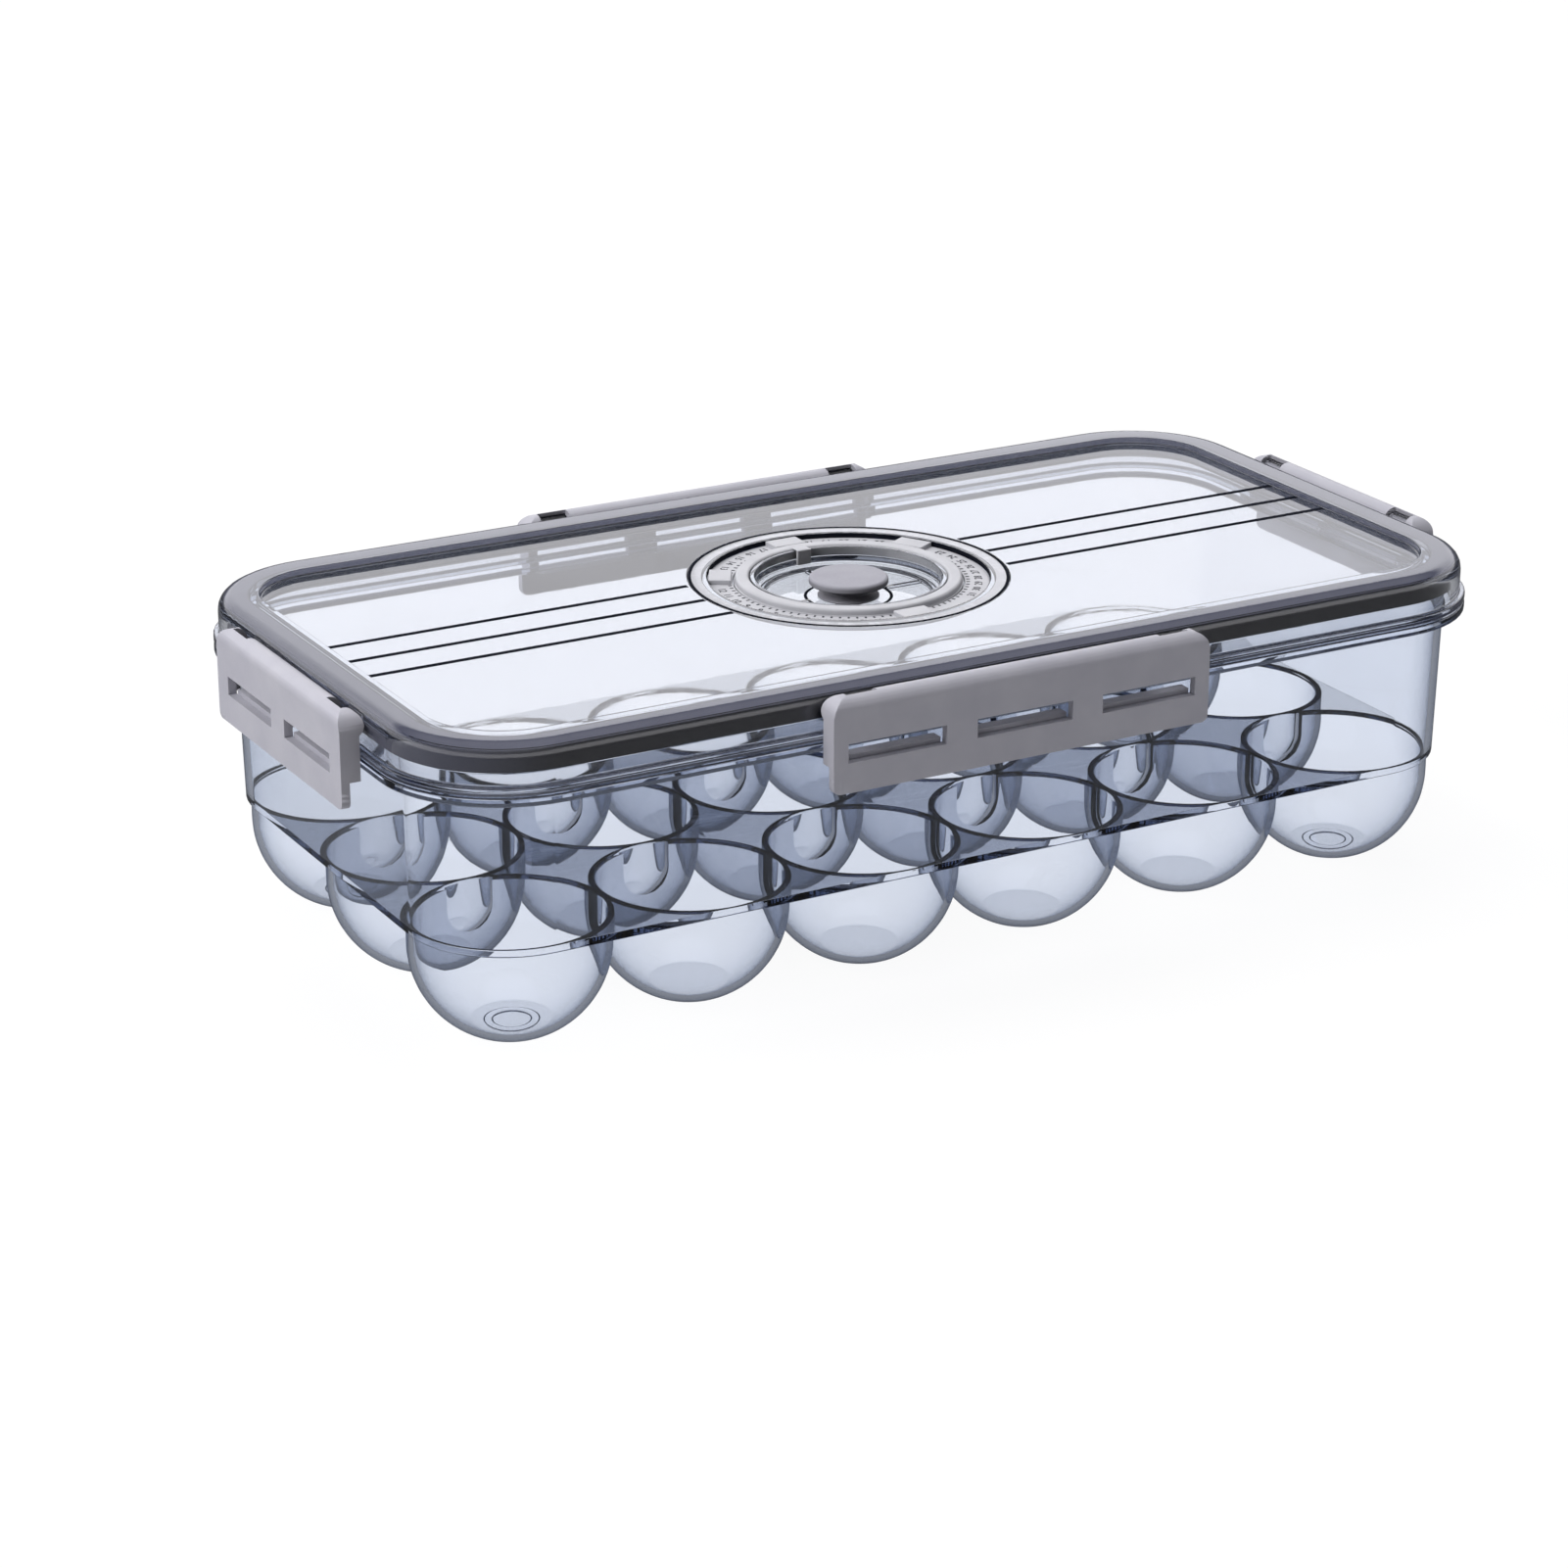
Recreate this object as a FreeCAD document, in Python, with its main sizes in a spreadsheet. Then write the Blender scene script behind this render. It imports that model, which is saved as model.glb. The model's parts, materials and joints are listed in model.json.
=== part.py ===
import FreeCAD, Part
import Sketcher
import math
import os

# An egg storage box: a clear tray with a grid of round cups, a clear lid with a soft seal,
# four swinging clips that hook under the tray's flange, and a dial in the middle of the lid.
# Millimetres, +Z up, +X along the long side, origin under the middle of the tray.

SIZES = {
    # Cups of the tray: inside radius, wall, flat floor, and the web left between neighbours
    "cup_radius": 23.0,
    "cup_wall": 1.6,
    "cup_floor_radius": 10.2,
    "cup_straight": 7.4,
    "cup_mouth_round": 0.5,
    "cup_web_x": 2.0,
    "cup_web_y": 1.4,
    "cup_columns": 6,
    "cup_rows": 3,
    # Ring feet under the corner cups
    "foot_height": 0.6,
    "foot_outer_radius": 6.8,
    "foot_width": 2.0,
    # Deck, wall, flange and sealing upstand of the tray
    "deck_thickness": 1.6,
    "wall_ledge": 1.0,
    "wall_thickness": 1.8,
    "wall_flare": 1.0,
    "wall_height": 38.0,
    "flange_thickness": 2.3,
    "flange_reach": 5.2,
    "upstand_height": 4.7,
    # Lid: gaps to the tray, skirt, lip, seal channel and plate
    "lid_gap": 0.3,
    "skirt_clearance": 1.8,
    "skirt_thickness": 2.0,
    "lip_reach": 1.4,
    "lip_thickness": 2.2,
    "gasket_height": 5.3,
    "gasket_width": 5.8,
    "gasket_play": 0.1,
    "downstand_thickness": 1.8,
    "rim_thickness": 2.0,
    "rim_width": 10.6,
    "rim_round": 4.0,
    "plate_sink": 1.8,
    "plate_thickness": 2.0,
    "line_width": 1.0,
    "line_depth": 0.4,
    "line_pitch": 12.0,
    # Clips: pivot, plate, hooks, slots and finger tab
    "clip_bar_radius": 3.2,
    "clip_skirt_gap": 0.4,
    "clip_plate": 2.2,
    "clip_drop": 20.4,
    "clip_corner": 5.0,
    "clip_end_wall": 2.0,
    "clip_end_gap": 0.4,
    "clip_end_drop": 13.8,
    "rod_radius": 1.0,
    "rod_play": 0.06,
    "lug_radius": 2.0,
    "lug_width": 8.0,
    "lug_gap": 0.25,
    "lug_arm": 1.6,
    "lug_inset": 9.0,
    "hook_bite": 1.1,
    "hook_ramp": 2.1,
    "hook_gap": 0.6,
    "hook_foot": 3.4,
    "hook_side": 0.5,
    "slot_height": 4.8,
    "slot_below_hook": 1.3,
    "long_clip": 106.0,
    "long_slot": 27.0,
    "long_slot_pitch": 35.5,
    "long_slots": 3,
    "short_clip": 75.0,
    "short_slot": 27.0,
    "short_slot_pitch": 35.0,
    "short_slots": 2,
    # Dial: fixed cup, seal, two turning rings that share the room round the well, and the vent plug
    "dial_radius": 41.0,
    "dial_seam": 0.2,
    "dial_flange": 3.6,
    "dial_flange_thickness": 0.9,
    "dial_proud": 0.1,
    "dial_wall": 1.2,
    "dial_seal_thickness": 0.5,
    "ring_depth": 2.8,
    "ring_play": 0.2,
    "ring_rest": 0.2,
    "ring_thickness": 1.2,
    "ring_split": 0.3,
    "date_ring_share": 0.62,
    "bead_share": 0.92,
    "bead_height": 1.65,
    "bead_round_share": 0.5,
    "tab_width": 9.0,
    "tab_height": 1.2,
    "tabs": 3,
    "bar_width": 4.0,
    "bar_thickness": 1.0,
    "bar_drop": 3.6,
    "bar_gap": 0.25,
    "well_radius": 24.0,
    "well_depth": 5.5,
    "well_ledge_width": 2.4,
    "well_ledge_depth": 4.1,
    "well_floor": 1.4,
    "rib_width": 1.0,
    "rib_height": 0.7,
    "ribs": 4,
    "knob_radius": 10.2,
    "knob_below_plate": 0.05,
    "knob_cap": 2.0,
    "knob_round": 0.9,
    "knob_neck_radius": 5.2,
    "knob_base": 1.0,
    "knob_rest": 0.05,
    "vent_stem_radius": 3.4,
    "vent_play": 0.1,
    "vent_travel": 3.0,
    "vent_bulb_radius": 4.6,
    "vent_bulb_height": 2.2,
    # Rounding of the clear mouldings' edges, and one overrun for all cuts
    "edge_round": 0.5,
    "overrun": 1.0,
}

doc = FreeCAD.newDocument("egg_box")
sheet = doc.addObject("Spreadsheet::Sheet", "sizes")
for row, (alias, amount) in enumerate(SIZES.items(), 1):
    sheet.set(f"A{row}", alias)
    sheet.set(f"B{row}", str(amount))
    sheet.setAlias(f"B{row}", alias)
doc.recompute()


class Length:
    """A size that carries its value and the expression that ties it to the sheet."""

    def __init__(self, value, text):
        self.value = value
        self.text = text

    def join(self, sign, other, value):
        return Length(value, f"({self.text} {sign} {plain(other).text})")

    def __add__(self, other):
        return self.join("+", other, self.value + plain(other).value)

    def __sub__(self, other):
        return self.join("-", other, self.value - plain(other).value)

    def __mul__(self, other):
        return self.join("*", other, self.value * plain(other).value)

    def __truediv__(self, other):
        return self.join("/", other, self.value / plain(other).value)

    def __neg__(self):
        return Length(-self.value, f"(0 - {self.text})")


def plain(number):
    """Gives a plain number the form of a Length."""
    return number if isinstance(number, Length) else Length(number, repr(number))


def root(area):
    """Square root of a Length."""
    return Length(math.sqrt(area.value), f"sqrt({area.text})")


def size(alias):
    """The sheet's size of that name."""
    return Length(float(sheet.get(alias)), f"sizes.{alias}")


def new_body(label):
    body = doc.addObject("PartDesign::Body", label)
    body.Label = label
    return body


def origin_feature(body, role):
    return next(item for item in body.Origin.OriginFeatures if item.Role == role)


def new_sketch(body, name, plane, shift=(None, None, None)):
    """Sketch on one of the body's own planes, shifted along the plane's axes."""
    sketch = body.newObject("Sketcher::SketchObject", name)
    sketch.AttachmentSupport = (origin_feature(body, plane), [""])
    sketch.MapMode = "FlatFace"
    for axis, length in zip("xyz", shift):
        if length is not None:
            sketch.setExpression(f"AttachmentOffset.Base.{axis}", length.text)
    return sketch


def tie(sketch, constraint, length):
    """Adds one dimension and binds it to the sheet."""
    index = sketch.addConstraint(constraint)
    sketch.setExpression(f"Constraints[{index}]", length.text)


def pin_point(sketch, geometry, point, place):
    """Holds a point of the sketch at a place given by two Lengths, where None is zero."""
    x, y = place
    for kind, axis, length in (("DistanceX", -2, x), ("DistanceY", -1, y)):
        if length is None:
            sketch.addConstraint(Sketcher.Constraint("PointOnObject", geometry, point, axis))
        else:
            tie(sketch, Sketcher.Constraint(kind, -1, 1, geometry, point, length.value), length)


def vector(place):
    return FreeCAD.Vector(*(0.0 if part is None else part.value for part in place), 0.0)


def outline(sketch, corners, arcs=None):
    """Closed outline through the corners.

    arcs maps the index of a side to its centre, radius and whether it runs counter-clockwise.
    """
    arcs = arcs or {}
    starts, ends = [], []
    for index, corner in enumerate(corners):
        first = vector(corner)
        last = vector(corners[(index + 1) % len(corners)])
        if index in arcs:
            centre, radius, rising = arcs[index]
            middle = vector(centre)
            low, high = (first, last) if rising else (last, first)
            angles = [math.atan2(end.y - middle.y, end.x - middle.x) for end in (low, high)]
            circle = Part.Circle(middle, FreeCAD.Vector(0, 0, 1), radius.value)
            side = sketch.addGeometry(Part.ArcOfCircle(circle, *angles), False)
            starts.append((side, 1 if rising else 2))
            ends.append((side, 2 if rising else 1))
        else:
            side = sketch.addGeometry(Part.LineSegment(first, last), False)
            starts.append((side, 1))
            ends.append((side, 2))
    for index, corner in enumerate(corners):
        sketch.addConstraint(Sketcher.Constraint("Coincident", *ends[index - 1], *starts[index]))
        pin_point(sketch, *starts[index], corner)
    for index, (centre, radius, rising) in arcs.items():
        tie(sketch, Sketcher.Constraint("Radius", starts[index][0], radius.value), radius)


def rectangle(sketch, low, high):
    outline(sketch, [low, (high[0], low[1]), high, (low[0], high[1])])


def rounded_rectangle(sketch, half_x, half_y, radius):
    """Rectangle about the origin with round corners, drawn counter-clockwise."""
    in_x = half_x - radius
    in_y = half_y - radius
    corners = [(-in_x, -half_y), (in_x, -half_y), (half_x, -in_y), (half_x, in_y),
               (in_x, half_y), (-in_x, half_y), (-half_x, in_y), (-half_x, -in_y)]
    arcs = {1: ((in_x, -in_y), radius, True), 3: ((in_x, in_y), radius, True),
            5: ((-in_x, in_y), radius, True), 7: ((-in_x, -in_y), radius, True)}
    outline(sketch, corners, arcs)


def circle(sketch, centre, radius):
    side = sketch.addGeometry(Part.Circle(vector(centre), FreeCAD.Vector(0, 0, 1), radius.value), False)
    pin_point(sketch, side, 3, centre)
    tie(sketch, Sketcher.Constraint("Radius", side, radius.value), radius)


def pad(body, name, sketch, length, middle=False, downwards=False):
    feature = body.newObject("PartDesign::Pad", name)
    feature.Profile = sketch
    feature.setExpression("Length", length.text)
    feature.Reversed = downwards
    if middle:
        feature.SideType = "Symmetric"
    doc.recompute()
    return feature


def confirm_cut(body, feature, before):
    """A cut has to take something away."""
    doc.recompute()
    if not feature.Shape.Volume < before:
        raise RuntimeError(f"{body.Label}: {feature.Name} cuts nothing")
    return feature


def pocket(body, name, sketch, depth, middle=False, upwards=False):
    before = body.Shape.Volume
    feature = body.newObject("PartDesign::Pocket", name)
    feature.Profile = sketch
    feature.setExpression("Length", depth.text)
    feature.Reversed = upwards
    if middle:
        feature.SideType = "Symmetric"
    return confirm_cut(body, feature, before)


def revolve(body, name, sketch):
    feature = body.newObject("PartDesign::Revolution", name)
    feature.Profile = sketch
    feature.ReferenceAxis = (sketch, ["V_Axis"])
    doc.recompute()
    return feature


def groove(body, name, sketch):
    before = body.Shape.Volume
    feature = body.newObject("PartDesign::Groove", name)
    feature.Profile = sketch
    feature.ReferenceAxis = (sketch, ["V_Axis"])
    return confirm_cut(body, feature, before)


def row_pattern(body, name, feature, axis, length, count):
    """Copies a feature along one axis of the body; length is from the first copy to the last."""
    pattern = body.newObject("PartDesign::LinearPattern", name)
    pattern.Originals = [feature]
    pattern.Direction = (origin_feature(body, axis), [""])
    pattern.setExpression("Length", length.text)
    pattern.setExpression("Occurrences", plain(count).text)
    body.Tip = pattern
    return pattern


def grid_pattern(body, name, feature, along_x, along_y):
    """Copies a feature over a grid; each direction is (length, count)."""
    pattern = row_pattern(body, name, feature, "X_Axis", *along_x)
    pattern.Direction2 = (origin_feature(body, "Y_Axis"), [""])
    pattern.setExpression("Length2", along_y[0].text)
    pattern.setExpression("Occurrences2", plain(along_y[1]).text)
    doc.recompute()
    return pattern


def growth_of(point):
    """How far a point lies outside the rectangle of corner cup centres."""
    return math.hypot(max(abs(point.x) - grid_x.value, 0), max(abs(point.y) - grid_y.value, 0))


def loop_edges(shape, height, growth):
    """Names of the edges at one height that follow the grid's rectangle grown by a length."""
    close_share = 1e-5
    close = close_share * height.value
    names = []
    for index, edge in enumerate(shape.Edges, 1):
        middle = edge.valueAt((edge.FirstParameter + edge.LastParameter) / 2)
        box = edge.BoundBox
        level = abs(middle.z - height.value) < close and box.ZMax - box.ZMin < close
        if level and abs(growth_of(middle) - growth.value) < close:
            names.append(f"Edge{index}")
    return names


def fillet(body, name, base, edges, radius):
    feature = body.newObject("PartDesign::Fillet", name)
    feature.Base = (base, edges)
    feature.setExpression("Radius", radius.text)
    doc.recompute()
    return feature


# Cup grid: every outline of the tray and lid is this rectangle of corner cup centres, grown outwards
pitch_x = size("cup_radius") * 2 + size("cup_web_x")
pitch_y = size("cup_radius") * 2 + size("cup_web_y")
span_x = pitch_x * (size("cup_columns") - 1)
span_y = pitch_y * (size("cup_rows") - 1)
grid_x = span_x / 2
grid_y = span_y / 2

# Heights of the tray
floor_top = size("foot_height") + size("cup_wall")
cup_centre = floor_top + root(size("cup_radius") * size("cup_radius")
                              - size("cup_floor_radius") * size("cup_floor_radius"))
deck_top = cup_centre + size("cup_straight")
deck_bottom = deck_top - size("deck_thickness")
flange_bottom = deck_top + size("wall_height")
flange_top = flange_bottom + size("flange_thickness")
upstand_top = flange_top + size("upstand_height")

# Growth of each outline of the tray beyond the grid
cup_outer = size("cup_radius") + size("cup_wall")
wall_in_foot = size("cup_radius") + size("wall_ledge")
wall_in_top = wall_in_foot + size("wall_flare")
wall_out_foot = wall_in_foot + size("wall_thickness")
wall_out_top = wall_in_top + size("wall_thickness")
flange_out = wall_out_top + size("flange_reach")

# Heights of the lid
lid_bottom = flange_top + size("lid_gap")
gasket_bottom = upstand_top + size("lid_gap")
gasket_top = gasket_bottom + size("gasket_height")
lid_top = gasket_top + size("rim_thickness")
plate_top = lid_top - size("plate_sink")
plate_bottom = plate_top - size("plate_thickness")

# Growth of each outline of the lid beyond the grid
skirt_in = wall_out_top + size("skirt_clearance")
skirt_out = skirt_in + size("skirt_thickness")
lip_out = skirt_out + size("lip_reach")
gasket_out = skirt_in - size("gasket_play")
gasket_in = gasket_out - size("gasket_width")
downstand_out = gasket_in - size("gasket_play")
downstand_in = downstand_out - size("downstand_thickness")
recess = skirt_out - size("rim_width")

# Clip pivot, as growth beyond the grid and height
pivot_out = skirt_out + size("clip_skirt_gap") + size("clip_bar_radius")
pivot_height = lid_top - size("clip_skirt_gap") - size("clip_bar_radius")


def grown(sketch, growth):
    """Draws the cup grid's rectangle grown by a length, with corners of that radius."""
    rounded_rectangle(sketch, grid_x + growth, grid_y + growth, growth)


def level_sketch(body, name, height):
    return new_sketch(body, name, "XY_Plane", (None, None, height))


def make_tray():
    """Deck with a grid of fused cups, a flared wall, a flange, a sealing upstand and ring feet."""
    body = new_body("tray")
    over = size("overrun")
    foot_line = level_sketch(body, "wall_foot_line", deck_bottom)
    grown(foot_line, wall_out_foot)
    top_line = level_sketch(body, "wall_top_line", upstand_top)
    grown(top_line, wall_out_top)
    block = body.newObject("PartDesign::AdditiveLoft", "wall_block")
    block.Profile = foot_line
    block.Sections = [top_line]
    block.Ruled = True
    flange_line = level_sketch(body, "flange_line", flange_bottom)
    grown(flange_line, flange_out)
    pad(body, "flange", flange_line, size("flange_thickness"))

    # The corner cup at the lowest X and Y, copied over the grid
    cup_axis = (-grid_x, None, grid_y)
    rise = cup_centre - size("foot_height")
    flat_out = root(cup_outer * cup_outer - rise * rise)
    shell_line = new_sketch(body, "cup_shell_line", "XZ_Plane", cup_axis)
    outline(shell_line,
            [(None, size("foot_height")), (flat_out, size("foot_height")), (cup_outer, cup_centre),
             (cup_outer, deck_top), (None, deck_top)],
            {1: ((None, cup_centre), cup_outer, True)})
    shell = revolve(body, "cup_shell", shell_line)
    grid_pattern(body, "cup_shells", shell, (span_x, size("cup_columns")), (span_y, size("cup_rows")))

    # Room above the deck
    before = body.Shape.Volume
    room_foot = level_sketch(body, "room_foot_line", deck_top)
    grown(room_foot, wall_in_foot)
    room_top = level_sketch(body, "room_top_line", upstand_top)
    grown(room_top, wall_in_top)
    room = body.newObject("PartDesign::SubtractiveLoft", "room")
    room.Profile = room_foot
    room.Sections = [room_top]
    room.Ruled = True
    confirm_cut(body, room, before)

    # Hollow of each cup, with a rounded mouth
    mouth = size("cup_mouth_round")
    hollow_line = new_sketch(body, "cup_hollow_line", "XZ_Plane", cup_axis)
    outline(hollow_line,
            [(None, floor_top), (size("cup_floor_radius"), floor_top), (size("cup_radius"), cup_centre),
             (size("cup_radius"), deck_top - mouth), (size("cup_radius") + mouth, deck_top),
             (size("cup_radius") + mouth, deck_top + over), (None, deck_top + over)],
            {1: ((None, cup_centre), size("cup_radius"), True),
             3: ((size("cup_radius") + mouth, deck_top - mouth), mouth, False)})
    hollow = groove(body, "cup_hollow", hollow_line)
    grid_pattern(body, "cup_hollows", hollow, (span_x, size("cup_columns")), (span_y, size("cup_rows")))

    # Ring feet under the four corner cups
    foot_ring = new_sketch(body, "foot_ring_line", "XY_Plane", (-grid_x, -grid_y, None))
    circle(foot_ring, (None, None), size("foot_outer_radius"))
    circle(foot_ring, (None, None), size("foot_outer_radius") - size("foot_width"))
    foot = pad(body, "foot_ring", foot_ring, size("foot_height"))
    feet = grid_pattern(body, "foot_rings", foot, (span_x, 2), (span_y, 2))

    # Soft edges of the flange, the upstand and the wall's foot
    soft = [(flange_bottom, flange_out), (flange_top, flange_out), (upstand_top, wall_in_top),
            (upstand_top, wall_out_top), (deck_bottom, wall_out_foot)]
    edges = [name for height, growth in soft for name in loop_edges(feet.Shape, height, growth)]
    fillet(body, "soft_edges", feet, edges, size("edge_round"))
    return body


def lug_sketch(body, name, plane, grid, shift):
    """Pair of hinge lugs on opposite sides: an eye round the pivot and an arm from the skirt."""
    sketch = new_sketch(body, name, plane, shift)
    pivot = grid + pivot_out
    inside = grid + skirt_in + size("skirt_thickness") / 2
    radius = size("lug_radius")
    arm_low = pivot_height - radius
    arm_high = arm_low + size("lug_arm")
    reach = root(radius * radius - (radius - size("lug_arm")) * (radius - size("lug_arm")))
    for side in (-1, 1):
        centre = (pivot * side, pivot_height)
        outline(sketch,
                [(inside * side, arm_low), centre[:1] + (arm_low,), ((pivot - reach) * side, arm_high),
                 (inside * side, arm_high)],
                {1: (centre, radius, side > 0)})
        circle(sketch, centre, size("rod_radius") + size("rod_play"))
    return sketch


def make_lid():
    """Plate sunk in a raised rim, a skirt with a lip, a seal channel, a dial seat and hinge lugs."""
    body = new_body("lid")
    over = size("overrun")
    skirt_line = level_sketch(body, "skirt_line", lid_bottom)
    grown(skirt_line, skirt_out)
    block = pad(body, "skirt_block", skirt_line, lid_top - lid_bottom)
    fillet(body, "rim_edge", block, loop_edges(block.Shape, lid_top, skirt_out), size("rim_round"))
    lip_line = level_sketch(body, "lip_line", lid_bottom)
    grown(lip_line, lip_out)
    pad(body, "lip", lip_line, size("lip_thickness"))

    recess_line = level_sketch(body, "recess_line", lid_top)
    grown(recess_line, recess)
    pocket(body, "plate_recess", recess_line, size("plate_sink"))
    room_line = level_sketch(body, "room_line", lid_bottom)
    grown(room_line, downstand_in)
    pocket(body, "room", room_line, plate_bottom - lid_bottom, upwards=True)
    channel_line = level_sketch(body, "channel_line", lid_bottom)
    grown(channel_line, skirt_in)
    grown(channel_line, downstand_out)
    pocket(body, "seal_channel", channel_line, gasket_top - lid_bottom, upwards=True)
    short_line = level_sketch(body, "downstand_end_line", lid_bottom)
    grown(short_line, skirt_in)
    pocket(body, "downstand_end", short_line, gasket_bottom - lid_bottom, upwards=True)

    # Moulded lines along the plate, which the dial seat then interrupts
    line_sketch = level_sketch(body, "line_sketch", plate_top)
    half_line = size("line_width") / 2
    line_end = grid_x + recess
    for step in (-1, 0, 1):
        middle = size("line_pitch") * step
        rectangle(line_sketch, (-line_end, middle - half_line), (line_end, middle + half_line))
    pocket(body, "lines", line_sketch, size("line_depth"))
    seat_line = level_sketch(body, "dial_seat_line", plate_top)
    circle(seat_line, (None, None), size("dial_radius") + size("dial_seam"))
    pocket(body, "dial_seat", seat_line, seat_depth)
    hole_line = level_sketch(body, "dial_hole_line", plate_top)
    circle(hole_line, (None, None), barrel_out + size("dial_seam"))
    pocket(body, "dial_hole", hole_line, size("plate_thickness") + over)

    for name, plane, grid, length, axis in (
            ("long_lug", "YZ_Plane", grid_y, size("long_clip"), "X_Axis"),
            ("short_lug", "XZ_Plane", grid_x, size("short_clip"), "Y_Axis")):
        place = length / 2 - size("lug_inset")
        shift = (None, None, -place if axis == "X_Axis" else place)
        line = lug_sketch(body, f"{name}_line", plane, grid, shift)
        lugs = pad(body, name, line, size("lug_width"), middle=True)
        pair = row_pattern(body, f"{name}s", lugs, axis, place * 2, 2)
        doc.recompute()

    # Soft edges of the lip and of the rim's inner side
    soft = [(lid_bottom, lip_out), (lid_bottom + size("lip_thickness"), lip_out), (lid_top, recess)]
    edges = [name for height, growth in soft for name in loop_edges(pair.Shape, height, growth)]
    fillet(body, "soft_edges", pair, edges, size("edge_round"))
    return body


def make_gasket():
    """Soft seal that fills the channel under the lid's rim."""
    body = new_body("lid_gasket")
    line = level_sketch(body, "gasket_line", gasket_bottom)
    grown(line, gasket_out)
    grown(line, gasket_in)
    pad(body, "gasket", line, size("gasket_height"))
    return body


def make_clip(label, grid, length, slot, slot_pitch, slots, turn):
    """Clip for the side at -Y, turned about Z to its own side afterwards."""
    body = new_body(label)
    over = size("overrun")
    bar = size("clip_bar_radius")
    pivot = -(grid + pivot_out)
    face_out = pivot - bar
    face_in = face_out + size("clip_plate")
    low = pivot_height - size("clip_drop")
    sagitta = face_in - pivot
    join = pivot_height - root(bar * bar - sagitta * sagitta)
    centre = (pivot, pivot_height)
    section = new_sketch(body, "section_line", "YZ_Plane")
    outline(section,
            [(face_out, low), (face_in, low), (face_in, join), (pivot + bar, pivot_height),
             (pivot, pivot_height + bar), (face_out, pivot_height)],
            {2: (centre, bar, True), 3: (centre, bar, True), 4: (centre, bar, True)})
    pad(body, "bar_and_plate", section, length, middle=True)

    # Round corners of the plate, seen from outside
    corner = size("clip_corner")
    half = length / 2
    top = pivot_height + bar
    deep = (over - face_out) * 2
    corners = new_sketch(body, "corner_line", "XZ_Plane")
    for side in (-1, 1):
        for edge, inner in ((top, top - corner), (low, low + corner)):
            rising = (side > 0) == (edge is top)
            outline(corners,
                    [(half * side, inner), ((half + over) * side, inner),
                     ((half + over) * side, edge + (over if edge is top else -over)),
                     ((half - corner) * side, edge + (over if edge is top else -over)),
                     ((half - corner) * side, edge)],
                    {4: (((half - corner) * side, inner), corner, not rising)})
    pocket(body, "corners", corners, deep, middle=True)

    # End walls from the bar down, clear of the tray's flange
    wall_in = -(grid + flange_out + size("clip_end_gap"))
    ends = new_sketch(body, "end_wall_line", "YZ_Plane", (None, None, -half))
    rectangle(ends, (face_in - size("clip_plate") / 2, pivot_height - size("clip_end_drop")),
              (wall_in, pivot_height - bar / 2))
    end_wall = pad(body, "end_wall", ends, size("clip_end_wall"))
    row_pattern(body, "end_walls", end_wall, "X_Axis", length - size("clip_end_wall"), 2)

    # Hooks that bite under the flange, each behind its own slot
    catch = flange_bottom - size("hook_gap")
    hook_edge = -(grid + flange_out)
    tip = hook_edge + size("hook_bite")
    hook_root = face_in - size("clip_plate") / 2
    hooks = new_sketch(body, "hook_line", "YZ_Plane", (None, None, -(slot_pitch * (slots - 1)) / 2))
    outline(hooks,
            [(hook_root, catch - size("hook_foot")), (tip, catch - size("hook_ramp")),
             (hook_edge, catch), (hook_root, catch)])
    hook = pad(body, "hook", hooks, slot - size("hook_side") * 2, middle=True)
    row_pattern(body, "hooks", hook, "X_Axis", slot_pitch * (slots - 1), slots)
    doc.recompute()
    slot_low = catch - size("slot_below_hook")
    slot_line = new_sketch(body, "slot_line", "XZ_Plane",
                           (-(slot_pitch * (slots - 1)) / 2, None, -face_in))
    rectangle(slot_line, (-slot / 2, slot_low), (slot / 2, slot_low + size("slot_height")))
    cut = pocket(body, "slot", slot_line, size("clip_plate") + over, upwards=True)
    row_pattern(body, "slots", cut, "X_Axis", slot_pitch * (slots - 1), slots)
    doc.recompute()

    # Windows for the lid's lugs, and the rod that the lugs hold
    place = half - size("lug_inset")
    room = size("lug_radius") + size("lug_gap")
    window_width = size("lug_width") + size("lug_gap") * 2
    window = new_sketch(body, "window_line", "YZ_Plane", (None, None, -place))
    circle(window, centre, room)
    eye = pocket(body, "window", window, window_width, middle=True)
    row_pattern(body, "windows", eye, "X_Axis", place * 2, 2)
    doc.recompute()
    mouth = new_sketch(body, "window_mouth_line", "YZ_Plane", (None, None, -place))
    rectangle(mouth, (pivot - size("rod_radius") / 2, pivot_height - bar - over),
              (pivot + bar + over, pivot_height + bar + over))
    opened = pocket(body, "window_mouth", mouth, window_width, middle=True)
    row_pattern(body, "window_mouths", opened, "X_Axis", place * 2, 2)
    doc.recompute()
    rod_line = new_sketch(body, "rod_line", "YZ_Plane")
    circle(rod_line, centre, size("rod_radius"))
    pad(body, "rod", rod_line, length - size("clip_corner"), middle=True)
    body.Placement = FreeCAD.Placement(FreeCAD.Vector(), FreeCAD.Rotation(FreeCAD.Vector(0, 0, 1), turn))
    return body


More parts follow.
